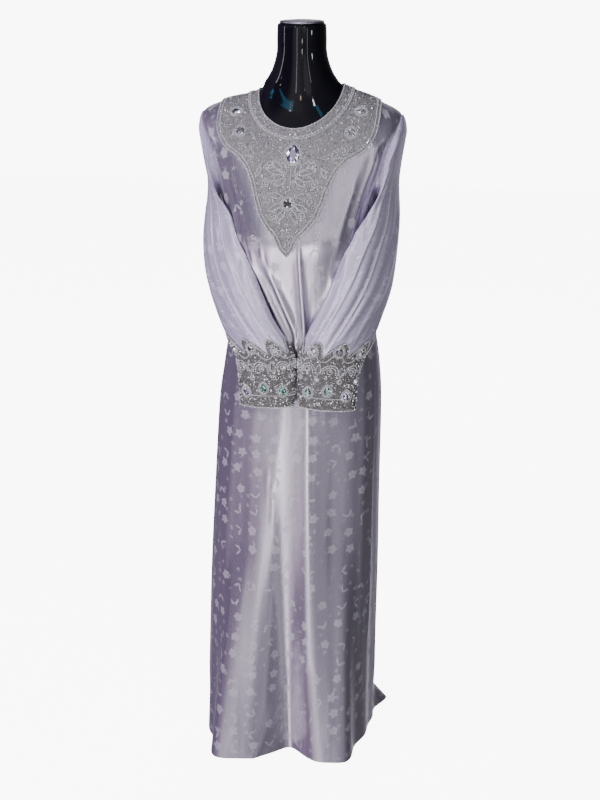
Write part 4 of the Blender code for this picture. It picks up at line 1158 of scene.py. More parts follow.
@dataclass
class Panel:
    """The front or the back of the dress, from the neckline to the hem."""

    name: str
    middle: float
    cut: float
    flat: tuple[float, float]
    area: float
    columns: int = 121
    crowding: float = 0.0
    rows_above: int = 28
    rows_armhole: int = 56
    rows_below: int = 124
    body: BodyShape = field(default_factory=BodyShape)

    def grid(self) -> tuple[np.ndarray, np.ndarray]:
        """Degrees from the panel's middle and ring numbers of its points, neckline to hem."""
        even_place = np.linspace(-1, 1, self.columns)
        place = 90 * (even_place + self.crowding * (even_place**3 - even_place))
        edge = np.abs(place / 90) ** ARMHOLE_EDGE_SPREAD
        turns = np.linspace(0, math.pi, self.rows_armhole)
        side = [np.linspace(0, SHOULDER_TIP, self.rows_above, endpoint=False), armhole_rings(turns)]
        side.append(np.linspace(ARMPIT, LAST_RING, self.rows_below + 1)[1:])
        even = side.copy()
        even[1] = np.linspace(SHOULDER_TIP, ARMPIT, self.rows_armhole)
        at_side, at_middle = np.concatenate(side)[:, None], np.concatenate(even)[:, None]
        rings = at_middle + (at_side - at_middle) * edge
        return panel_angle(place, rings, self.cut), rings

    def build(self, finish: bpy.types.Material) -> bpy.types.Object:
        angles, rings = self.grid()
        pair = self.body.points(90.5, rings, False) - self.body.points(89.5, rings, False)
        seam = SEAM / 2 / np.linalg.norm(pair, axis=-1)
        angles[:, 0] += seam[:, 0]
        angles[:, -1] -= seam[:, -1]
        outer = self.body.points(self.middle + angles, rings)
        inner = outer - self.body.normals(self.middle + angles, rings) * CLOTH
        inner[-1, :, 2] = outer[-1, :, 2]
        across = run_lengths(outer)
        across = across - across[:, [self.columns // 2]] + (0.0 if self.middle == 0 else 1.0)
        # How strongly highlights are painted along the folds' tops, kept for the satin's vertex map
        painted_highlight = self.body.crest(self.middle + angles, NECK_POINT - outer[..., 2])
        crest = np.stack([np.zeros(painted_highlight.shape), painted_highlight], axis=-1)
        wall = ClothWall(outer, inner, -outer[..., 2], across, closed=False, crest=crest)
        piece = wall.build(f"satin_{self.name}", "satin_lilac", f"{self.name}_panel", finish)
        return piece


@dataclass
class Sleeve:
    """One full sleeve, open at the armhole and at the cuff."""

    side: Side
    flat: tuple[float, float] = (0.475, 0.57)
    area: float = 0.182
    columns: int = 160
    crowding: float = 0.45
    rows_head: int = 36
    rows_free: int = 140
    rest_gap: float = 0.0022
    most_drop: float = 0.012
    laid_turn: float = 0.5
    least_share: float = 0.02
    laid_rows: tuple[float, float] = (2.0, 7.0)
    laid_fades: tuple[float, float] = (1.8, 2.6)

    def laid_down(
        self, outer: np.ndarray, turns: np.ndarray, rows: np.ndarray, front: bpy.types.Object
    ) -> np.ndarray:
        """The outer face with its front edge let down on to the front of the dress.

        Args:
            outer: The points of the face, rows downwards and columns round the sleeve.
            turns: Radians round the sleeve, one for each column.
            rows: Rows down the sleeve, one for each row of points.
            front: The front of the dress.

        Returns:
            The points, moved near the edge only and nowhere into the dress.
        """
        mesh = front.data
        dress = BVHTree.FromPolygons([v.co for v in mesh.vertices], [p.vertices for p in mesh.polygons])
        from_edge = turns[0] - math.pi / 2
        share = np.exp(-((from_edge / self.laid_turn) ** 2))
        level = inside(rows[:, 0], self.laid_rows, self.laid_fades)
        edge = int(np.abs(from_edge).argmin())
        laid = outer.copy()
        for row in np.flatnonzero(level > 0):
            edge_gap = dress.find_nearest(Vector(outer[row, edge]))[3]
            drop = level[row] * min(max(edge_gap - self.rest_gap, 0.0), self.most_drop)
            for place in np.flatnonzero(share > self.least_share):
                near, _, _, gap = dress.find_nearest(Vector(outer[row, place]))
                if gap > self.rest_gap:
                    step = min(share[place] * drop, gap - self.rest_gap)
                    laid[row, place] += (np.array(near) - outer[row, place]) / gap * step
        return laid

    def build(self, finish: bpy.types.Material, front: bpy.types.Object) -> bpy.types.Object:
        """Adds the sleeve, its front edge lying on the front of the dress."""
        shape = SleeveShape(self.side)
        turns = np.linspace(0, 2 * math.pi, self.columns, endpoint=False)[None, :]
        turns = turns - self.crowding * np.sin(turns)
        rows = np.concatenate(
            [np.linspace(0, 1.6, self.rows_head, endpoint=False), np.linspace(1.6, LAST_ROW, self.rows_free)]
        )[:, None]
        outer = self.laid_down(shape.points(turns, rows), turns, rows, front)
        inner = outer - shape.normals(turns, rows) * CLOTH
        wrapped = closed_round(outer)
        middle = outer.mean(axis=1)
        steps = np.linalg.norm(np.diff(middle, axis=0), axis=-1)
        along = np.broadcast_to(np.concatenate([[0], np.cumsum(steps)])[:, None], wrapped.shape[:2])
        across = run_lengths(wrapped) + 2.0 + self.side.value
        # Where highlights are painted along the crisp folds and the front edge
        crest = shape.crest(*np.broadcast_arrays(turns, rows))
        wall = ClothWall(outer, inner, along, across, True, self.side is Side.LEFT, crest)
        name = self.side.word
        piece = wall.build(f"satin_sleeve_{name}", "satin_lilac", f"sleeve_{name}", finish)
        return piece


class BeadCut(Enum):
    """How a bead or a small stone is cut; the value is its sides and its (radius, height) levels."""

    SEED = (5, ((1.0, 0.05), (0.0, 0.62)))
    PEARL = (6, ((0.76, 0.0), (1.0, 0.45), (0.80, 0.82), (0.0, 1.0)))
    RHINESTONE = (8, ((0.92, 0.0), (1.0, 0.30), (0.58, 0.95), (0.0, 0.96)))

    def shape(self) -> tuple[np.ndarray, list]:
        """Points and faces of one bead, open where it lies on the net, with a radius of 1."""
        sides, levels = self.value
        turn = np.arange(sides) * 2 * math.pi / sides
        points, rings = [], []
        for radius, height in levels:
            count = 1 if radius == 0 else sides
            rings.append(list(range(len(points), len(points) + count)))
            points += [(radius * math.cos(t), radius * math.sin(t), height) for t in turn[:count]]
        faces = []
        for low, high in zip(rings, rings[1:]):
            for k in range(sides):
                a, b = low[k % len(low)], low[(k + 1) % len(low)]
                c, d = high[(k + 1) % len(high)], high[k % len(high)]
                faces.append([a, b, c] if c == d else [a, b, c, d])
        return np.array(points), faces


@dataclass
class TakenSpace:
    """The places that beads have already taken, kept in small cubes."""

    cell: float = 0.0045
    cubes: dict = field(default_factory=dict)

    def near(self, place: np.ndarray) -> list:
        """The beads in the cubes round a place."""
        i, j, k = (int(math.floor(v / self.cell)) for v in place)
        found = []
        for a in (i - 1, i, i + 1):
            for b in (j - 1, j, j + 1):
                for c in (k - 1, k, k + 1):
                    found += self.cubes.get((a, b, c), ())
        return found

    def is_free(self, place: np.ndarray, radius: float) -> bool:
        """Whether a bead of a radius fits between those already there."""
        x, y, z = place
        for px, py, pz, other in self.near(place):
            if (px - x) ** 2 + (py - y) ** 2 + (pz - z) ** 2 < (other + radius) ** 2:
                return False
        return True

    def take(self, place: np.ndarray, radius: float) -> None:
        """Marks a bead's place as taken."""
        key = tuple(int(math.floor(v / self.cell)) for v in place)
        self.cubes.setdefault(key, []).append((*place, radius))


@dataclass
class BeadTray:
    """Beads of one cut and finish, laid one by one and joined into one piece."""

    name: str
    cut: BeadCut
    spread: float
    rows: list = field(default_factory=list)

    def put(self, place: np.ndarray, out: np.ndarray, radius: float, height: float) -> None:
        """Lays a bead on a place, with its height along the way out."""
        self.rows.append((*place, *out, radius, height))

    def build(self, finish: bpy.types.Material, slot: str, rng: np.random.Generator) -> bpy.types.Object:
        """Joins the beads into one piece.

        Args:
            finish: Their material.
            slot: Not used.
            rng: Turns and tilts each bead a little.

        Returns:
            The piece.
        """
        data = np.array(self.rows)
        count = len(data)
        place, out, radius, height = data[:, :3], data[:, 3:6], data[:, 6], data[:, 7]
        out = unit(out + rng.normal(0.0, self.spread, (count, 3)))
        across = unit(np.cross(out, rng.normal(size=(count, 3))))
        along = np.cross(out, across)
        points, faces = self.cut.shape()
        made = place[:, None, :] + across[:, None, :] * (points[:, 0] * radius[:, None])[..., None]
        made = made + along[:, None, :] * (points[:, 1] * radius[:, None])[..., None]
        made = made + out[:, None, :] * (points[:, 2] * height[:, None])[..., None]
        all_faces = []
        for start in range(0, count * len(points), len(points)):
            all_faces += [[start + corner for corner in face] for face in faces]
        piece = add_piece(self.name, made.reshape(-1, 3), all_faces)
        piece.data.materials.append(finish)
        return piece


@dataclass
class Net:
    """The outer face of a beaded net, closed all round, on which beads are laid."""

    grid: np.ndarray
    outward: int
    tree: BVHTree = field(init=False)

    def __post_init__(self) -> None:
        """Builds the tree that finds places on the net."""
        rows, columns = self.grid.shape[:2]
        row, col = (part.ravel() for part in np.mgrid[0 : rows - 1, 0:columns])
        after = (col + 1) % columns
        first, second = row * columns + col, row * columns + after
        quads = np.stack([first, first + columns, second + columns, second], axis=1)
        if self.outward < 0:
            quads = quads[:, ::-1]
        self.quads = quads
        self.tree = BVHTree.FromPolygons(self.grid.reshape(-1, 3).tolist(), quads.tolist())

    def snap(self, place: np.ndarray) -> tuple[np.ndarray, np.ndarray]:
        """The nearest place on the net and the way out there."""
        found, out, _, _ = self.tree.find_nearest(Vector(place))
        return np.array(found), np.array(out)

    def from_front(self, x: float, z: float) -> np.ndarray | None:
        """The place on the net that is seen from the front at X and Z."""
        found, _, _, _ = self.tree.ray_cast(Vector((x, -1.0, z)), Vector((0.0, 1.0, 0.0)))
        return None if found is None else np.array(found)

    def scattered(self, count: int, rng: np.random.Generator) -> np.ndarray:
        """Random places spread evenly over the net, away from its rims."""
        corners = self.grid.reshape(-1, 3)[self.quads]
        sides = (corners[:, 1] - corners[:, 0], corners[:, 3] - corners[:, 0])
        area = np.linalg.norm(np.cross(*sides), axis=-1)
        pick = rng.choice(len(area), count, p=area / area.sum())
        u, v = rng.random((2, count, 1))
        at = corners[pick]
        return (at[:, 0] * (1 - u) + at[:, 3] * u) * (1 - v) + (at[:, 1] * (1 - u) + at[:, 2] * u) * v


def evenly(points: np.ndarray, spacing: float) -> np.ndarray:
    """Points at an even spacing along a line of points."""
    points = np.asarray(points, float)
    steps = np.linalg.norm(np.diff(points, axis=0), axis=-1)
    run = np.concatenate([[0.0], np.cumsum(steps)])
    count = max(2, int(round(run[-1] / spacing)) + 1)
    at = np.linspace(0, run[-1], count)
    return np.stack([np.interp(at, run, points[:, k]) for k in range(points.shape[1])], axis=-1)


def inset(net: Net, outline: np.ndarray, distance: float, inwards: int) -> np.ndarray:
    """A closed outline moved in over a net.

    Args:
        net: The net.
        outline: The closed outline's points.
        distance: How far in.
        inwards: 1 or -1, the side of the outline that the net is on.

    Returns:
        The moved points in order, closed, without those that crowd a corner.
    """
    outline = evenly(np.concatenate([outline, outline[:1]]), 0.0008)[:-1]
    ahead = np.roll(outline, -3, axis=0) - np.roll(outline, 3, axis=0)
    outs = np.array([net.snap(point)[1] for point in outline])
    moved = outline + unit(np.cross(outs, ahead)) * inwards * distance
    moved = np.array([net.snap(point)[0] for point in moved])
    kept = []
    for start in range(0, len(moved), 200):
        gaps = np.linalg.norm(moved[start : start + 200, None] - outline[None, ::2], axis=-1).min(axis=1)
        kept.append(gaps > 0.93 * distance)
    moved = moved[np.concatenate(kept)]
    return np.concatenate([moved, moved[:1]])


@dataclass(frozen=True)
class BeadRow:
    """A row of beads at a distance from an edge, with their radius and spacing."""

    distance: float
    radius: float
    spacing: float
    bright: bool = True


@dataclass(frozen=True)
class Leaf:
    """A leaf of beads seen from the front: its base across and down, its lean, length and width."""

    x: float
    down: float
    lean: float
    length: float
    width: float


@dataclass(frozen=True)
class Scroll:
    """A curl of beads: its middle across and down, where it starts, its turns and its radius."""

    x: float
    down: float
    start: float
    turns: float
    radius: float


@dataclass(frozen=True)
class Stone:
    """A large stone: its place on the cloth, its size, and its colour's name."""

    node: str
    place_a: float
    place_b: float
    width: float
    height: float
    stand: float
    pointed: bool
    colour: str = "clear"


YOKE_STONES = (
    Stone("stone_yoke_upper_drop", 0.0, 1.75, 0.026, 0.036, 0.0062, True, "violet"),
    Stone("stone_yoke_lower_round", 0.0, 4.75, 0.018, 0.018, 0.0060, False, "smoke"),
    Stone("stone_yoke_inner_left", 44.0, 1.85, 0.016, 0.016, 0.0048, False, "clear"),
    Stone("stone_yoke_inner_right", -44.0, 1.85, 0.016, 0.016, 0.0048, False, "clear"),
    Stone("stone_yoke_outer_left", 64.0, 1.45, 0.014, 0.018, 0.0048, True, "clear"),
    Stone("stone_yoke_outer_right", -64.0, 1.45, 0.014, 0.018, 0.0048, True, "clear"),
)
CUFF_STONES = (
    Stone("lobe_a", -46.0, 7.50, 0.014, 0.017, 0.0050, True, "clear"),
    Stone("lobe_b", 0.0, 7.42, 0.014, 0.017, 0.0050, True, "smoke"),
    Stone("lobe_c", 46.0, 7.50, 0.014, 0.017, 0.0050, True, "clear"),
    Stone("row_a", -42.0, 9.45, 0.013, 0.018, 0.0050, True, "violet"),
    Stone("row_b", 0.0, 9.35, 0.013, 0.018, 0.0050, True, "green"),
    Stone("row_c", 42.0, 9.45, 0.013, 0.018, 0.0050, True, "green"),
)
YOKE_EDGE_ROWS = (
    BeadRow(0.0016, 0.00145, 0.0030),
    BeadRow(0.0043, 0.00100, 0.0022, False),
    BeadRow(0.0080, 0.00140, 0.0029),
    BeadRow(0.0108, 0.00100, 0.0022, False),
)
YOKE_NECK_ROWS = (
    BeadRow(0.0016, 0.00145, 0.0030),
    BeadRow(0.0044, 0.00100, 0.0022, False),
    BeadRow(0.0190, 0.00155, 0.0031),
    BeadRow(0.0225, 0.00155, 0.0031),
)
CUFF_EDGE_ROWS = (
    BeadRow(0.0016, 0.00145, 0.0030),
    BeadRow(0.0044, 0.00100, 0.0022, False),
    BeadRow(0.0128, 0.00140, 0.0029),
)
CUFF_END_ROWS = (
    BeadRow(0.0016, 0.00145, 0.0030),
    BeadRow(0.0044, 0.00100, 0.0022, False),
    BeadRow(0.0270, 0.00140, 0.0029),
    BeadRow(0.0298, 0.00100, 0.0022, False),
)
YOKE_LEAVES = (
    Leaf(0.010, 0.158, 20.0, 0.024, 0.010),
    Leaf(0.012, 0.156, 48.0, 0.034, 0.011),
    Leaf(0.012, 0.158, 74.0, 0.040, 0.012),
    Leaf(0.011, 0.162, 100.0, 0.036, 0.011),
    Leaf(0.009, 0.166, 124.0, 0.026, 0.010),
    Leaf(0.006, 0.224, 150.0, 0.030, 0.010),
    Leaf(0.013, 0.214, 118.0, 0.030, 0.010),
    Leaf(0.013, 0.200, 84.0, 0.030, 0.010),
    Leaf(0.078, 0.128, 30.0, 0.022, 0.009),
    Leaf(0.080, 0.132, 80.0, 0.024, 0.009),
    Leaf(0.108, 0.088, 10.0, 0.022, 0.009),
    Leaf(0.060, 0.146, 150.0, 0.020, 0.008),
)
YOKE_SCROLLS = (
    Scroll(0.048, 0.176, 200.0, 1.4, 0.010),
    Scroll(0.044, 0.140, 20.0, 1.3, 0.009),
    Scroll(0.092, 0.150, 120.0, 1.4, 0.011),
    Scroll(0.100, 0.112, 300.0, 1.3, 0.010),
    Scroll(0.030, 0.236, 60.0, 1.3, 0.009),
    Scroll(0.040, 0.208, 160.0, 1.3, 0.009),
)
YOKE_STONE_HEIGHT = 0.030
CUFF_ROW_HEIGHT = 0.060
CUFF_HALF_WIDTH = 0.050
STONE_GAP = 0.0003

# How much a pointed stone narrows; the reach and the bead radius of the two rings round a stone,
# and their beads' spacing in radii; and the steps and size of the places that a stone covers
STONE_POINT = 0.45
STONE_RINGS = ((0.0019, 0.00165), (0.0048, 0.00115))
STONE_RING_SPACING = 2.1
COVERED_STEP, COVERED_RADIUS, COVERED_SHARE = 0.0022, 0.0012, 0.95

# Beads: the lift off the net, the radius of the fill, and the ring round a small stone
BEAD_LIFT = 0.00005
FILL_RADIUS = 0.00100
ROSETTE_RING = BeadRow(0.0018, 0.00140, 0.0029)

# The yoke's ornament: bead radii of leaves, curls and stem, and the small stones on them
LEAF_BEAD, CURL_BEAD, STEM_BEAD = 0.00135, 0.00140, 0.00095
LEAF_STONE, CURL_STONE = 0.0020, 0.0026
LEAF_FULLNESS, CURL_CLOSING = 0.8, 0.72
STEM_DROPS, STEM_LINES = (0.150, 0.186), (-0.0022, 0.0, 0.0022)

# The cuffs' ornament, in radians and sleeve rows: arches under each lobe, and drops between them
ARCHES = ((0.30, 0.55), (0.22, 0.40))
ARCH_ROW, ARCH_STONE_ROW, ARCH_STONE = 8.75, 8.62, 0.0034
DROP_LEANS = (-0.07, 0.0, 0.07)
DROP_ROW, DROP_ROWS, DROP_STONE_ROW, DROP_STONE = 8.15, 0.75, 9.05, 0.0030


def stone_shape(stone: Stone, sides: int = 8) -> tuple[np.ndarray, list]:
    """Points and faces of a cut stone: a table, star and kite facets, a girdle and a base.

    Args:
        stone: Its sizes.
        sides: Sides of its table; the girdle has twice as many.

    Returns:
        Its points, X across, Y up and Z out of the cloth, and its faces.
    """
    points = []
    levels = (
        (2 * sides, 0.0, 0.82, 0.0),
        (2 * sides, 0.0, 1.0, 0.34),
        (sides, 0.5, 0.80, 0.72),
        (sides, 0.0, 0.52, 1.0),
    )
    for count, turn_share, scale, level in levels:
        for k in range(count):
            turn = 2 * math.pi * (k + turn_share) / count
            narrow = 1 - STONE_POINT * max(0.0, math.cos(turn)) ** 2 if stone.pointed else 1.0
            x = stone.width / 2 * math.sin(turn) * narrow
            points.append((-x * scale, stone.height / 2 * math.cos(turn) * scale, stone.stand * level))
    girdle, star, table = 2 * sides, 4 * sides, 5 * sides
    faces = [list(range(2 * sides))[::-1], list(range(table, table + sides))]
    for k in range(2 * sides):
        after = (k + 1) % (2 * sides)
        faces.append([k, after, girdle + after, girdle + k])
    for k in range(sides):
        low, mid, high = girdle + 2 * k, girdle + 2 * k + 1, girdle + (2 * k + 2) % (2 * sides)
        this, after = star + k, star + (k + 1) % sides
        faces.append([low, mid, this])
        faces.append([mid, high, this])
        faces.append([high, after, table + (k + 1) % sides, this])
        faces.append([this, table + (k + 1) % sides, table + k])
    return np.array(points), faces


@dataclass
class Beadwork:
    """Everything sewn on one net: large stones, rows and curls of beads, and the fill between."""

    name: str
    net: Net
    materials: Materials
    seed: int
    dim: bool = False
    pearls: BeadTray = field(init=False)
    seeds: BeadTray = field(init=False)
    fill: BeadTray = field(init=False)
    glints: BeadTray = field(init=False)
    taken: TakenSpace = field(default_factory=TakenSpace)
    stones: list = field(default_factory=list)

    def __post_init__(self) -> None:
        """Opens a tray for each kind of bead."""
        self.rng = np.random.default_rng(self.seed)
        self.pearls = BeadTray(f"{self.name}_pearls", BeadCut.PEARL, 0.10)
        self.seeds = BeadTray(f"{self.name}_rows", BeadCut.SEED, 0.25)
        self.fill = BeadTray(f"{self.name}_seeds", BeadCut.SEED, 0.55)
        self.glints = BeadTray(f"{self.name}_rhinestones", BeadCut.RHINESTONE, 0.16)

    def lay(self, tray: BeadTray, place: np.ndarray, radius: float, height: float, slack: float) -> bool:
        """Lays one bead where there is room, and says whether it did."""
        place, out = self.net.snap(place)
        if not self.taken.is_free(place, radius * slack):
            return False
        self.taken.take(place, radius)
        tray.put(place + out * BEAD_LIFT, out, radius, height)
        return True

    def line(self, points: np.ndarray, radius: float, spacing: float, bright: bool = True) -> None:
        """Lays a row of beads along a line on the net."""
        tray = self.pearls if bright else self.seeds
        for place in evenly(points, spacing):
            self.lay(tray, place, radius, radius * 1.7, 0.55)

    def edge_rows(self, outline: np.ndarray, rows: tuple, inwards: int) -> None:
        """Lays the rows that follow an edge."""
        for row in rows:
            self.line(inset(self.net, outline, row.distance, inwards), row.radius, row.spacing, row.bright)

    def stone(self, stone: Stone, patch: np.ndarray, name: str, node: str) -> None:
        """Sets a large stone over the middle of a patch of net, with a ring of beads round it.

        Args:
            stone: The stone.
            patch: Points of the net, rows downwards and columns across.
            name: The piece's name.
            node: The solid that it stands for.
        """
        rows, columns = patch.shape[:2]
        middle = patch[rows // 2, columns // 2]
        up = patch[0, columns // 2] - patch[-1, columns // 2]
        out = unit(np.cross(patch[rows // 2, -1] - patch[rows // 2, 0], up))
        across = unit(np.cross(up, out))
        up = np.cross(out, across)
        seat = middle + out * (float(((patch - middle) @ out).max()) + STONE_GAP)
        points, faces = stone_shape(stone)
        placed = seat + across * points[:, :1] + up * points[:, 1:2] + out * points[:, 2:]
        piece = add_piece(name, placed, faces, node)
        piece.data.materials.append(self.materials.crystals[stone.colour])
        self.stones.append(piece)
        for reach, radius in STONE_RINGS:
            turn = np.linspace(0, 2 * math.pi, 73)
            narrow = 1 - STONE_POINT * np.maximum(0.0, np.cos(turn)) ** 2 if stone.pointed else 1.0
            ring_x = (stone.width / 2 + reach) * np.sin(turn) * narrow
            ring_y = (stone.height / 2 + reach) * np.cos(turn)
            ring = middle + across * ring_x[:, None] + up * ring_y[:, None]
            self.line(ring, radius, radius * STONE_RING_SPACING)
        for x in np.arange(-stone.width / 2, stone.width / 2, COVERED_STEP):
            for y in np.arange(-stone.height / 2, stone.height / 2, COVERED_STEP):
                if (2 * x / stone.width) ** 2 + (2 * y / stone.height) ** 2 < COVERED_SHARE:
                    self.taken.take(self.net.snap(middle + across * x + up * y)[0], COVERED_RADIUS)

    def drawn(self, line: np.ndarray, radius: float, bright: bool = True) -> None:
        """Lays a row of beads along a line of X and Z seen from the front."""
        found = [self.net.from_front(x, z) for x, z in line]
        found = [place for place in found if place is not None]
        if len(found) > 2:
            self.line(np.array(found), radius, radius * 2.15, bright)

    def rhinestone(self, place: np.ndarray, radius: float) -> bool:
        """Sets a small stone."""
        return self.lay(self.glints, place, radius, radius * 0.9, 0.9)

    def rosette(self, place: np.ndarray, radius: float) -> None:
        """Sets a small stone with a ring of beads round it."""
        if not self.rhinestone(place, radius):
            return
        middle, out = self.net.snap(place)
        across = unit(np.cross((0.0, 0.0, 1.0), out))
        up = np.cross(out, across)
        turn = np.linspace(0, 2 * math.pi, 25)[:, None]
        ring = middle + (across * np.cos(turn) + up * np.sin(turn)) * (radius + ROSETTE_RING.distance)
        self.line(ring, ROSETTE_RING.radius, ROSETTE_RING.spacing)

    def sprinkle(self, count: int, least: float, most: float) -> None:
        """Sets small stones by chance where there is room."""
        for place in self.net.scattered(count, self.rng):
            self.rhinestone(place, self.rng.uniform(least, most))

    def fill_in(self, candidates: int, radius: float) -> None:
        """Fills what is left with seed beads, a little uneven in size."""
        for place in self.net.scattered(candidates, self.rng):
            self.lay(self.fill, place, radius * self.rng.uniform(0.85, 1.1), radius * 1.35, 0.80)

    def build(self) -> list[bpy.types.Object]:
        """Adds the trays as pieces."""
        pairs = (
            (self.pearls, self.materials.bright),
            (self.seeds, self.materials.seed),
            (self.fill, self.materials.dim if self.dim else self.materials.fill),
            (self.glints, self.materials.crystals["clear"]),
        )
        made = [tray.build(finish, "beadwork", self.rng) for tray, finish in pairs if tray.rows]
        return self.stones + made


@dataclass
class Yoke:
    """The beaded bib that closes round the neck and runs down to a point in front."""

    body: BodyShape = field(default_factory=BodyShape)
    front_columns: int = 200
    back_columns: int = 120
    rows: int = 44
    flat: tuple[float, float] = (0.42, 0.36)
    area: float = 0.069
    seed: int = 11
    sprinkled: tuple[int, float, float] = (420, 0.0013, 0.0022)
    filled: int = 42000

    def angle(self, place: np.ndarray, ring: np.ndarray) -> np.ndarray:
        """Degrees round the body of a place in front, with the bib's small lean to one side."""
        reach = YOKE_FRONT[0].reach
        swing = YOKE_LEAN * ease(ring / reach) * (1 - ease((ring - reach) / 4))
        return panel_angle(place, ring, ARMHOLE_FRONT_CUT) + swing * np.cos(np.radians(place))

    def grid(self, out: float) -> np.ndarray:
        """Points of the bib moved out from the cloth, closed all round, neckline first."""
        level = np.linspace(0, 1, self.rows)[:, None]
        front = np.linspace(-90, 90, self.front_columns)
        back = np.linspace(-90, 90, self.back_columns)[1:-1]
        rings = [
            level * np.interp(np.abs(places), column(edge, "place"), column(edge, "reach"))
            for places, edge in ((front, YOKE_FRONT), (back, YOKE_BACK))
        ]
        angles = [
            self.angle(np.broadcast_to(front, rings[0].shape), rings[0]),
            180 + panel_angle(np.broadcast_to(back, rings[1].shape), rings[1], ARMHOLE_BACK_CUT),
        ]
        return self.body.moved_out(np.concatenate(angles, axis=1), np.concatenate(rings, axis=1), out)

    def middle_x(self, down: float) -> float:
        """X of the bib's middle line at a drop."""
        return -0.001 - 0.042 * max(0.0, down - 0.07)

    def build(self, materials: Materials) -> list[bpy.types.Object]:
        """Adds the net and all that is sewn on it."""
        outer, inner = self.grid(NET_FACE), self.grid(NET_GAP)
        wrapped = closed_round(outer)
        wall = ClothWall(outer, inner, -wrapped[..., 2], run_lengths(wrapped), closed=True)
        net_piece = wall.build("yoke_net", "beadwork", "beaded_yoke", materials.net)
        work = Beadwork("yoke", Net(outer, 1), materials, self.seed)
        for stone in YOKE_STONES:
            steps = np.linspace(-1, 1, 5)
            swing = YOKE_LEAN * float(ease(np.array(stone.place_b / YOKE_FRONT[0].reach)))
            angle = stone.place_a + swing * math.cos(math.radians(stone.place_a))
            angles = angle + np.degrees(stone.width / 2 / RINGS[0].half_width) * steps[None, :]
            rings = stone.place_b + stone.height / 2 / YOKE_STONE_HEIGHT * steps[:, None]
            patch = self.body.moved_out(*np.broadcast_arrays(angles, rings), NET_FACE)
            work.stone(stone, patch, stone.node.replace("stone_yoke", "yoke_stone"), stone.node)
        work.edge_rows(outer[-1], YOKE_EDGE_ROWS, self.side_of(work.net, outer[-1], outer[-4]))
        work.edge_rows(outer[0], YOKE_NECK_ROWS, self.side_of(work.net, outer[0], outer[3]))
        self.ornament(work)
        work.sprinkle(*self.sprinkled)
        work.fill_in(self.filled, FILL_RADIUS)
        return [net_piece] + work.build()

    @staticmethod
    def side_of(net: Net, edge: np.ndarray, inner: np.ndarray) -> int:
        """Which side of an edge its net lies on, for inset."""
        ahead = edge[1] - edge[0]
        out = net.snap(edge[0])[1]
        return 1 if float(np.cross(out, ahead) @ (inner[0] - edge[0])) > 0 else -1

    def ornament(self, work: Beadwork) -> None:
        """Lays leaves, curls and a stem on the front."""
        step = np.linspace(0, 1, 26)
        for sign in (1, -1):
            for leaf in YOKE_LEAVES:
                lean = math.radians(leaf.lean)
                for bulge in (1, -1, 0):
                    along = leaf.length * step
                    side = bulge * leaf.width / 2 * np.sin(math.pi * step) ** LEAF_FULLNESS
                    x = leaf.x + along * math.sin(lean) + side * math.cos(lean)
                    down = leaf.down - along * math.cos(lean) + side * math.sin(lean)
                    middle = np.array([self.middle_x(value) for value in down])
                    line = np.stack([middle + sign * x, NECK_POINT - down], axis=-1)
                    work.drawn(line if bulge else line[:18], LEAF_BEAD, bulge != 0)
                tip = work.net.from_front(float(line[-1, 0]), float(line[-1, 1]))
                if tip is not None:
                    work.rosette(tip, LEAF_STONE)
            for scroll in YOKE_SCROLLS:
                turn = math.radians(scroll.start) + 2 * math.pi * scroll.turns * step
                radius = scroll.radius * (1 - CURL_CLOSING * step)
                x, down = scroll.x + radius * np.cos(turn), scroll.down + radius * np.sin(turn)
                middle = self.middle_x(scroll.down)
                work.drawn(np.stack([middle + sign * x, NECK_POINT - down], axis=-1), CURL_BEAD)
                centre = work.net.from_front(middle + sign * scroll.x, NECK_POINT - scroll.down)
                if centre is not None:
                    work.rosette(centre, CURL_STONE)
        for side in STEM_LINES:
            down = np.linspace(*STEM_DROPS, 20)
            x = np.array([self.middle_x(value) + side for value in down])
            work.drawn(np.stack([x, NECK_POINT - down], axis=-1), STEM_BEAD, side == 0.0)


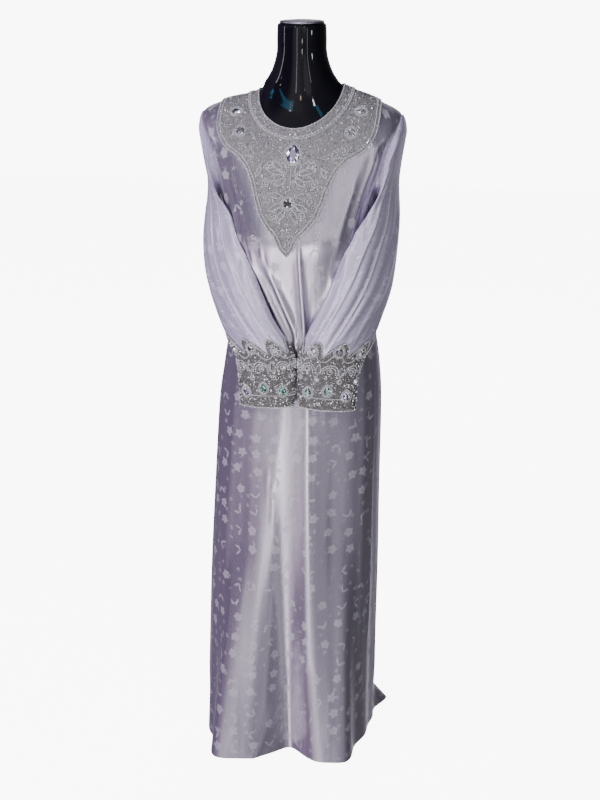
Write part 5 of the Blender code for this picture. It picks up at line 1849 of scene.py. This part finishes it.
@dataclass
class Cuff:
    """One wide beaded cuff with a lobed upper edge."""

    side: Side
    columns: int = 200
    rows: int = 40
    flat: tuple[float, float] = (0.42, 0.15)
    area: float = 0.039
    seed: int = 20
    sprinkled: tuple[int, float, float] = (900, 0.0014, 0.0026)
    filled: int = 16000

    def build(self, materials: Materials) -> list[bpy.types.Object]:
        """Adds the net and all that is sewn on it."""
        shape = SleeveShape(self.side)
        turns = np.linspace(0, 2 * math.pi, self.columns, endpoint=False)
        top = cuff_edge_row(turns)
        rows = top + (CUFF_END - top) * np.linspace(0, 1, self.rows)[:, None]
        turns = np.broadcast_to(turns, rows.shape)
        outer = shape.moved_out(turns, rows, NET_FACE)
        inner = shape.moved_out(turns, rows, NET_GAP)
        wrapped = closed_round(outer)
        wall = ClothWall(outer, inner, -wrapped[..., 2], run_lengths(wrapped), True, self.side is Side.LEFT)
        name = self.side.word
        net_piece = wall.build(f"cuff_net_{name}", "beadwork", f"cuff_{name}", materials.cuff_net)
        net, seed = Net(outer, -self.side.value), self.seed + self.side.value
        work = Beadwork(f"cuff_{name}", net, materials, seed, dim=True)
        steps = np.linspace(-1, 1, 5)
        for stone in CUFF_STONES:
            around = math.radians(stone.place_a) - stone.width / 2 / CUFF_HALF_WIDTH * steps * self.side.value
            down = stone.place_b + stone.height / 2 / CUFF_ROW_HEIGHT * steps[:, None]
            patch = shape.moved_out(*np.broadcast_arrays(around[None, :], down), NET_FACE)
            work.stone(stone, patch, f"cuff_stone_{name}_{stone.node}", f"stone_cuff_{name}_{stone.node}")
        work.edge_rows(outer[0], CUFF_EDGE_ROWS, Yoke.side_of(work.net, outer[0], outer[3]))
        work.edge_rows(outer[-1], CUFF_END_ROWS, Yoke.side_of(work.net, outer[-1], outer[-4]))
        self.ornament(work, shape)
        work.sprinkle(*self.sprinkled)
        work.fill_in(self.filled, FILL_RADIUS)
        return [net_piece] + work.build()

    def ornament(self, work: Beadwork, shape: SleeveShape) -> None:
        """Lays arches and drops between the stones, round the cuff."""
        step = np.linspace(0, 1, 30)
        for lobe in range(CUFF_LOBES):
            middle = 2 * math.pi * lobe / CUFF_LOBES
            for reach, height in ARCHES:
                turn = middle + reach * np.cos(math.pi * step)
                row = ARCH_ROW - height * np.sin(math.pi * step)
                work.line(shape.moved_out(turn, row, NET_FACE), 0.00165, 0.0034)
            work.rosette(shape.moved_out([middle], [ARCH_STONE_ROW], NET_FACE)[0], ARCH_STONE)
            between = middle + math.pi / CUFF_LOBES
            for lean in DROP_LEANS:
                turn = between + lean * np.sin(math.pi * step)
                row = DROP_ROW + DROP_ROWS * step
                work.line(shape.moved_out(turn, row, NET_FACE), 0.00130, 0.0027, lean != 0.0)
            work.rosette(shape.moved_out([between], [DROP_STONE_ROW], NET_FACE)[0], DROP_STONE)


@dataclass(frozen=True)
class FormRing:
    """A level of the form's neck; a drop above the neck point is negative."""

    side: float
    front: float
    back: float
    half_width: float
    half_depth: float


FORM_NECK = (
    FormRing(-0.121, -0.121, -0.121, 0.0465, 0.0465),
    FormRing(-0.116, -0.116, -0.116, 0.0485, 0.0485),
    FormRing(-0.094, -0.094, -0.094, 0.0495, 0.0495),
    FormRing(-0.068, -0.066, -0.068, 0.0500, 0.0500),
    FormRing(-0.045, -0.030, -0.048, 0.0555, 0.0520),
    FormRing(-0.027, 0.008, -0.027, 0.0630, 0.0560),
    FormRing(-0.010, 0.046, -0.004, 0.0740, 0.0640),
)


@dataclass
class DressForm:
    """The headless torso, its cap, pole and foot."""

    columns: int = 96
    torso_rows: int = 90
    torso_end: float = 11.0
    ends: tuple[tuple[float, float], ...] = ((0.93, 0.014), (0.78, 0.026), (0.45, 0.033), (0.12, 0.035))
    cap_radius: float = 0.0440
    cap_thickness: float = 0.005
    cap_dome: float = 0.0025
    pole_radius: float = 0.0125
    foot_radius: float = 0.120
    foot_thickness: float = 0.008
    hub_radius: float = 0.024
    hub_height: float = 0.034
    round_sides: int = 96

    def torso(self, finish: bpy.types.Material) -> bpy.types.Object:
        """Adds the torso and neck as one smooth closed skin."""
        turn = np.linspace(0, 2 * math.pi, self.columns, endpoint=False)
        facing = np.cos(turn)
        rows = []
        for level in np.linspace(0, len(FORM_NECK) - 1, 42):
            at = {n: curve_through(column(FORM_NECK, n), level) for n in FormRing.__dataclass_fields__}
            end = np.where(facing > 0, at["front"], at["back"])
            height = NECK_POINT - at["side"] - (end - at["side"]) * facing**2
            x, y = at["half_width"] * np.sin(turn), -at["half_depth"] * facing
            rows.append(np.stack([x, y, height], axis=-1))
        shape = BodyShape(())
        for ring in np.linspace(0, self.torso_end, self.torso_rows):
            gap = SOLID_CLOTH + float(curve_through(column(RINGS, "form_gap"), ring))
            rows.append(shape.moved_out(np.degrees(turn), np.full_like(turn, ring), -gap, folded=False))
        hip = rows[-1]
        centre = hip.mean(axis=0)
        for scale, fall in self.ends:
            lower = centre + (hip - centre) * scale
            lower[:, 2] = centre[2] - fall
            rows.append(lower)
        return self.closed_skin("dress_form", np.array(rows), "form_torso", finish)

    def closed_skin(
        self, name: str, grid: np.ndarray, node: str, finish: bpy.types.Material
    ) -> bpy.types.Object:
        """Adds a closed skin over rings of points, from top to bottom."""
        count, columns = grid.shape[:2]
        faces = []
        for row in range(count - 1):
            for col in range(columns):
                after = (col + 1) % columns
                a, b = row * columns + col, row * columns + after
                faces.append([a, a + columns, b + columns, b])
        top, bottom = list(range(columns)), list(range((count - 1) * columns, count * columns))
        faces += [top, bottom[::-1]]
        piece = add_piece(name, grid.reshape(-1, 3), faces, node)
        piece.data.shade_smooth()
        piece.data.set_sharp_from_angle(angle=math.radians(50))
        piece.data.materials.append(finish)
        return piece

    def turned(
        self, name: str, profile: list, slot: str, node: str, finish: bpy.types.Material
    ) -> bpy.types.Object:
        """Adds a turned solid from its (radius, height) profile, top to bottom."""
        turn = np.linspace(0, 2 * math.pi, self.round_sides, endpoint=False)
        across, along = np.sin(turn), -np.cos(turn)
        rows = [np.stack([r * across, r * along, np.full_like(turn, z)], axis=-1) for r, z in profile]
        return self.closed_skin(name, np.array(rows), node, finish)

    def build(self, materials: Materials) -> list[bpy.types.Object]:
        """Adds the four pieces of the form."""
        torso = self.torso(materials.gloss)
        low = NECK_POINT - FORM_NECK[0].side + SEAM
        r, top = self.cap_radius, low + self.cap_thickness
        dome = [(r * s, top + self.cap_dome * (1 - s**2)) for s in (0.05, 0.25, 0.5, 0.75, 0.9)]
        cap = dome + [(r - 0.0012, top), (r - 0.0004, top - 0.0004), (r, top - 0.0012)]
        cap += [(r, low + 0.0006), (r - 0.0006, low)]
        pole_top = NECK_POINT - RINGS[11].side - 0.033 - SEAM
        pole = [(self.pole_radius, pole_top), (self.pole_radius, self.hub_height + SEAM)]
        f, t, h, hr = self.foot_radius, self.foot_thickness, self.hub_height, self.hub_radius
        foot = [
            (hr - 0.006, h),
            (hr - 0.004, h - 0.0006),
            (hr - 0.003, h - 0.002),
            (hr, t + 0.006),
            (hr + 0.0015, t + 0.0025),
            (hr + 0.005, t + 0.001),
            (f - 0.006, t),
            (f - 0.002, t - 0.0008),
            (f, t * 0.6),
            (f, 0.0008),
            (f - 0.0008, 0.0),
        ]
        return [
            torso,
            self.turned("neck_cap", cap, "cap_metal", "form_cap", materials.cap),
            self.turned("stand_pole", pole, "stand_steel", "form_pole", materials.steel),
            self.turned("stand_foot", foot, "stand_steel", "form_foot", materials.steel),
        ]


@dataclass(frozen=True)
class Stop:
    """A colour of light at a place of a ramp, from 0 to 1."""

    place: float
    colour: tuple[float, float, float]


@dataclass(frozen=True)
class Glow:
    """A round patch of the room's light that has a colour of its own, with a soft edge."""

    bearing: float
    elevation: float
    reach: float
    colour: tuple[float, float, float]

    def direction(self) -> tuple[float, float, float]:
        """The unit vector towards it; bearing 0 is the front and 90 is +X."""
        turn, rise = math.radians(self.bearing), math.radians(self.elevation)
        return (math.sin(turn) * math.cos(rise), -math.cos(turn) * math.cos(rise), math.sin(rise))


@dataclass(frozen=True)
class Lamp:
    """A soft rectangular lamp."""

    name: str
    place: tuple[float, float, float]
    aim: tuple[float, float, float]
    width: float
    height: float
    power: float
    colour: tuple[float, float, float] = (1.0, 1.0, 1.0)
    mirrored: bool = True


# The room's light by bearing: 0 and 1 are behind the dress, 0.25 its right, 0.5 its front
ROOM = (
    Stop(0.00, (0.95, 0.90, 1.00)),
    Stop(0.05, (0.70, 0.64, 0.76)),
    Stop(0.095, (0.24, 0.21, 0.28)),
    Stop(0.139, (0.12, 0.09, 0.17)),
    Stop(0.194, (0.13, 0.09, 0.19)),
    Stop(0.236, (0.26, 0.18, 0.35)),
    Stop(0.30, (0.62, 0.47, 0.70)),
    Stop(0.36, (0.92, 0.76, 0.97)),
    Stop(0.41, (1.08, 0.95, 1.12)),
    Stop(0.444, (1.38, 1.27, 1.42)),
    Stop(0.475, (1.15, 1.08, 1.18)),
    Stop(0.51, (0.60, 0.59, 0.65)),
    Stop(0.56, (0.40, 0.40, 0.45)),
    Stop(0.61, (0.32, 0.32, 0.36)),
    Stop(0.667, (0.24, 0.24, 0.28)),
    Stop(0.722, (0.11, 0.11, 0.13)),
    Stop(0.80, (0.07, 0.07, 0.08)),
    Stop(0.905, (0.10, 0.10, 0.11)),
    Stop(0.95, (0.60, 0.57, 0.63)),
    Stop(1.00, (0.95, 0.90, 1.00)),
)

# How much of it there is by height: 0 straight down, 0.5 level, 1 straight up
HEIGHTS = (
    Stop(0.00, (1.30, 1.26, 1.30)),
    Stop(0.22, (1.15, 1.11, 1.15)),
    Stop(0.30, (0.90, 0.87, 0.90)),
    Stop(0.37, (0.66, 0.63, 0.67)),
    Stop(0.42, (0.56, 0.54, 0.58)),
    Stop(0.48, (0.80, 0.78, 0.82)),
    Stop(0.60, (0.90, 0.89, 0.92)),
    Stop(0.72, (0.50, 0.50, 0.54)),
    Stop(1.00, (0.35, 0.36, 0.40)),
)
GLOWS = (
    Glow(-55.0, 9.0, 33.0, (0.05, 0.02, 0.10)),
    Glow(-88.0, -11.0, 17.0, (0.04, 0.02, 0.08)),
    Glow(20.0, 9.0, 12.0, (1.15, 1.04, 1.08)),
    Glow(-12.0, -41.0, 21.0, (3.00, 2.85, 3.00)),
    Glow(44.0, -29.0, 11.0, (0.70, 0.65, 0.73)),
    Glow(-68.0, -31.0, 17.0, (0.16, 0.11, 0.19)),
)
NECK = (0.0, -0.05, 1.46)
CHEST = (0.0, -0.1, 1.15)
LAMPS = (
    Lamp("wash", (-2.3, -2.2, 2.9), (-0.1, 0.0, 1.1), 1.6, 1.6, 130.0, (1.0, 0.94, 1.09), False),
    Lamp("fill", (1.8, -2.6, 2.4), (0.1, 0.0, 1.0), 1.4, 1.4, 18.0, (1.0, 0.97, 0.90), False),
    Lamp("behind", (0.2, 3.2, 2.3), (0.0, 0.0, 0.9), 1.6, 1.6, 55.0, (1.0, 0.98, 1.0), False),
    Lamp("low_middle", (0.0, -1.45, 0.42), CHEST, 0.45, 0.62, 2.6),
    Lamp("strip_left", (-2.45, -0.45, 1.75), CHEST, 0.10, 0.8, 3.0, (1.0, 0.96, 1.0)),
    Lamp("strip_middle", (-0.55, -2.3, 1.45), CHEST, 0.08, 0.9, 1.8),
    Lamp("strip_right", (1.3, -2.0, 1.35), CHEST, 0.08, 1.0, 1.5),
    Lamp("spark_a", (-0.9, -2.3, 2.3), CHEST, 0.10, 0.10, 1.6),
    Lamp("spark_b", (0.9, -2.2, 2.4), CHEST, 0.10, 0.10, 1.5),
    Lamp("spark_c", (-1.6, -1.7, 0.9), CHEST, 0.10, 0.10, 1.2),
    Lamp("spark_d", (0.25, -2.5, 0.8), CHEST, 0.10, 0.10, 1.4),
    Lamp("spark_e", (1.8, -1.3, 1.6), CHEST, 0.10, 0.10, 1.2, (0.8, 1.0, 0.95)),
    Lamp("neck_white", (0.38, -2.22, 1.47), NECK, 0.06, 0.08, 0.5),
    Lamp("neck_gold_a", (-1.95, -1.02, 1.95), NECK, 0.07, 0.07, 0.35, (1.0, 0.72, 0.35)),
    Lamp("neck_gold_b", (-0.07, -2.18, 2.03), NECK, 0.09, 0.09, 0.5, (1.0, 0.72, 0.35)),
    Lamp("neck_violet_a", (-2.07, -0.83, 1.77), NECK, 0.06, 0.06, 0.12, (0.45, 0.35, 1.0)),
    Lamp("neck_violet_b", (0.40, -2.18, 1.86), NECK, 0.06, 0.06, 0.12, (0.45, 0.35, 1.0)),
    Lamp("neck_blue_a", (-1.23, -1.60, 2.09), NECK, 1.55, 0.05, 0.9, (0.08, 0.62, 0.95)),
    Lamp("neck_blue_b", (0.62, -1.75, 2.62), NECK, 0.16, 0.9, 1.6, (0.08, 0.55, 0.90)),
    Lamp("neck_blue_c", (-1.98, -0.66, 2.32), NECK, 0.30, 0.05, 0.25, (0.08, 0.62, 0.95)),
)


@dataclass
class Studio:
    """A pale floor, soft lights and the camera at the photograph's angle."""

    azimuth: float = 9.0
    distance: float = 2.68
    height: float = 1.75
    tilt: float = 19.6
    lens: float = 59.0
    shift: float = -2.0 / 800
    floor_size: float = 14.0
    room_strength: float = 1.0
    backdrop: float = 9.0
    floor_share: float = 0.93
    glow_core: float = 0.45

    def camera(self) -> None:
        """Adds the camera."""
        turn = math.radians(self.azimuth)
        data = bpy.data.cameras.new("camera")
        data.lens, data.shift_x, data.clip_start = self.lens, self.shift, 0.05
        data.sensor_width = 36.0
        made = bpy.data.objects.new("camera", data)
        made.location = (self.distance * math.sin(turn), -self.distance * math.cos(turn), self.height)
        made.rotation_euler = (math.radians(90 - self.tilt), 0.0, turn)
        bpy.context.scene.collection.objects.link(made)
        bpy.context.scene.camera = made

    def floor(self) -> None:
        """Adds the pale floor."""
        half = self.floor_size / 2
        mesh = bpy.data.meshes.new("floor")
        corners = [(-half, -half, 0), (half, -half, 0), (half, half, 0), (-half, half, 0)]
        mesh.from_pydata(corners, [], [(0, 1, 2, 3)])
        floor = bpy.data.objects.new("floor", mesh)
        material, nodes, shader = new_material("floor_pale")
        seen = nodes.add("LightPath").outputs["Is Camera Ray"]
        glow = nodes.math("MULTIPLY", seen, self.backdrop * self.floor_share)
        nodes.feed(shader, {"Base Color": (0.90, 0.90, 0.90, 1.0), "Roughness": 0.9})
        nodes.feed(shader, {"Emission Color": (1.0, 1.0, 1.0, 1.0), "Emission Strength": glow})
        floor.visible_diffuse = floor.visible_glossy = False
        mesh.materials.append(material)
        bpy.context.scene.collection.objects.link(floor)

    def lamp(self, lamp: Lamp) -> None:
        """Adds a soft lamp that points at a place."""
        data = bpy.data.lights.new(lamp.name, "AREA")
        data.shape = "RECTANGLE"
        data.size, data.size_y, data.energy, data.color = lamp.width, lamp.height, lamp.power, lamp.colour
        made = bpy.data.objects.new(lamp.name, data)
        made.location = lamp.place
        made.visible_glossy, made.visible_camera = lamp.mirrored, False
        made.rotation_euler = (Vector(lamp.aim) - Vector(lamp.place)).to_track_quat("-Z", "Y").to_euler()
        bpy.context.scene.collection.objects.link(made)

    def world(self) -> None:
        """Sets a white backdrop, and the room of light that the cloth mirrors."""
        world = bpy.data.worlds.new("studio")
        bpy.context.scene.world = world
        world.use_nodes = True
        nodes = Nodes(world.node_tree)
        facing = nodes.add("TexCoord").outputs["Generated"]
        way = nodes.add("SeparateXYZ", {0: facing})
        forward = nodes.math("MULTIPLY", way.outputs[1], -1.0)
        bearing = nodes.math("ARCTAN2", way.outputs[0], forward)
        place = nodes.math("MULTIPLY_ADD", bearing, 0.5 / math.pi, 0.5)
        round_room = nodes.add("ValToRGB", {0: place})
        self.fill_ramp(round_room.color_ramp, ROOM)
        rise = nodes.math("MULTIPLY_ADD", way.outputs[2], 0.5, 0.5)
        up_room = nodes.add("ValToRGB", {0: rise})
        self.fill_ramp(up_room.color_ramp, HEIGHTS)
        both = {0: 1.0, 6: round_room.outputs[0], 7: up_room.outputs[0]}
        shown = nodes.add("Mix", both, data_type="RGBA", blend_type="MULTIPLY").outputs[2]
        for glow in GLOWS:
            towards = nodes.add("VectorMath", {0: facing, 1: glow.direction()}, operation="DOT_PRODUCT")
            near, far = (math.cos(math.radians(glow.reach * share)) for share in (self.glow_core, 1.0))
            shown = nodes.mix(nodes.ramp(towards.outputs["Value"], far, near), shown, glow.colour + (1.0,))
        seen = nodes.add("LightPath").outputs["Is Camera Ray"]
        strength = nodes.ramp(seen, 0.0, 1.0, self.room_strength, self.backdrop)
        colour = nodes.mix(seen, shown, (1.0, 1.0, 1.0, 1.0))
        nodes.feed(world.node_tree.nodes["Background"], {"Color": colour, "Strength": strength})

    @staticmethod
    def fill_ramp(ramp: bpy.types.ColorRamp, stops: tuple) -> None:
        """Puts the stops of light into a colour ramp."""
        ramp.interpolation = "B_SPLINE"
        while len(ramp.elements) < len(stops):
            ramp.elements.new(0.5)
        for element, stop in zip(ramp.elements, sorted(stops, key=lambda s: s.place)):
            element.position = stop.place
            element.color = stop.colour + (1.0,)

    def build(self) -> None:
        """Adds everything that isn't the part."""
        self.camera()
        self.floor()
        self.world()
        for lamp in LAMPS:
            self.lamp(lamp)


def main() -> None:
    """Builds the studio and every piece of the dress and its form, in order."""
    logging.basicConfig(level=logging.INFO, format="%(message)s")
    Studio().build()
    materials = Materials()
    pieces = DressForm().build(materials)
    panel = Panel("front", 0.0, ARMHOLE_FRONT_CUT, (0.72, 1.46), 0.735, columns=221, crowding=0.4)
    front = panel.build(materials.satin)
    pieces.append(front)
    pieces.append(Panel("back", 180.0, ARMHOLE_BACK_CUT, (0.64, 1.46), 0.70).build(materials.satin))
    pieces += Yoke().build(materials)
    for side in Side:
        pieces.append(Sleeve(side).build(materials.sleeve, front))
        pieces += Cuff(side).build(materials)
    for piece in pieces:
        LOG.info("%s: %d faces", piece.name, len(piece.data.polygons))


if __name__ == "__main__":
    main()
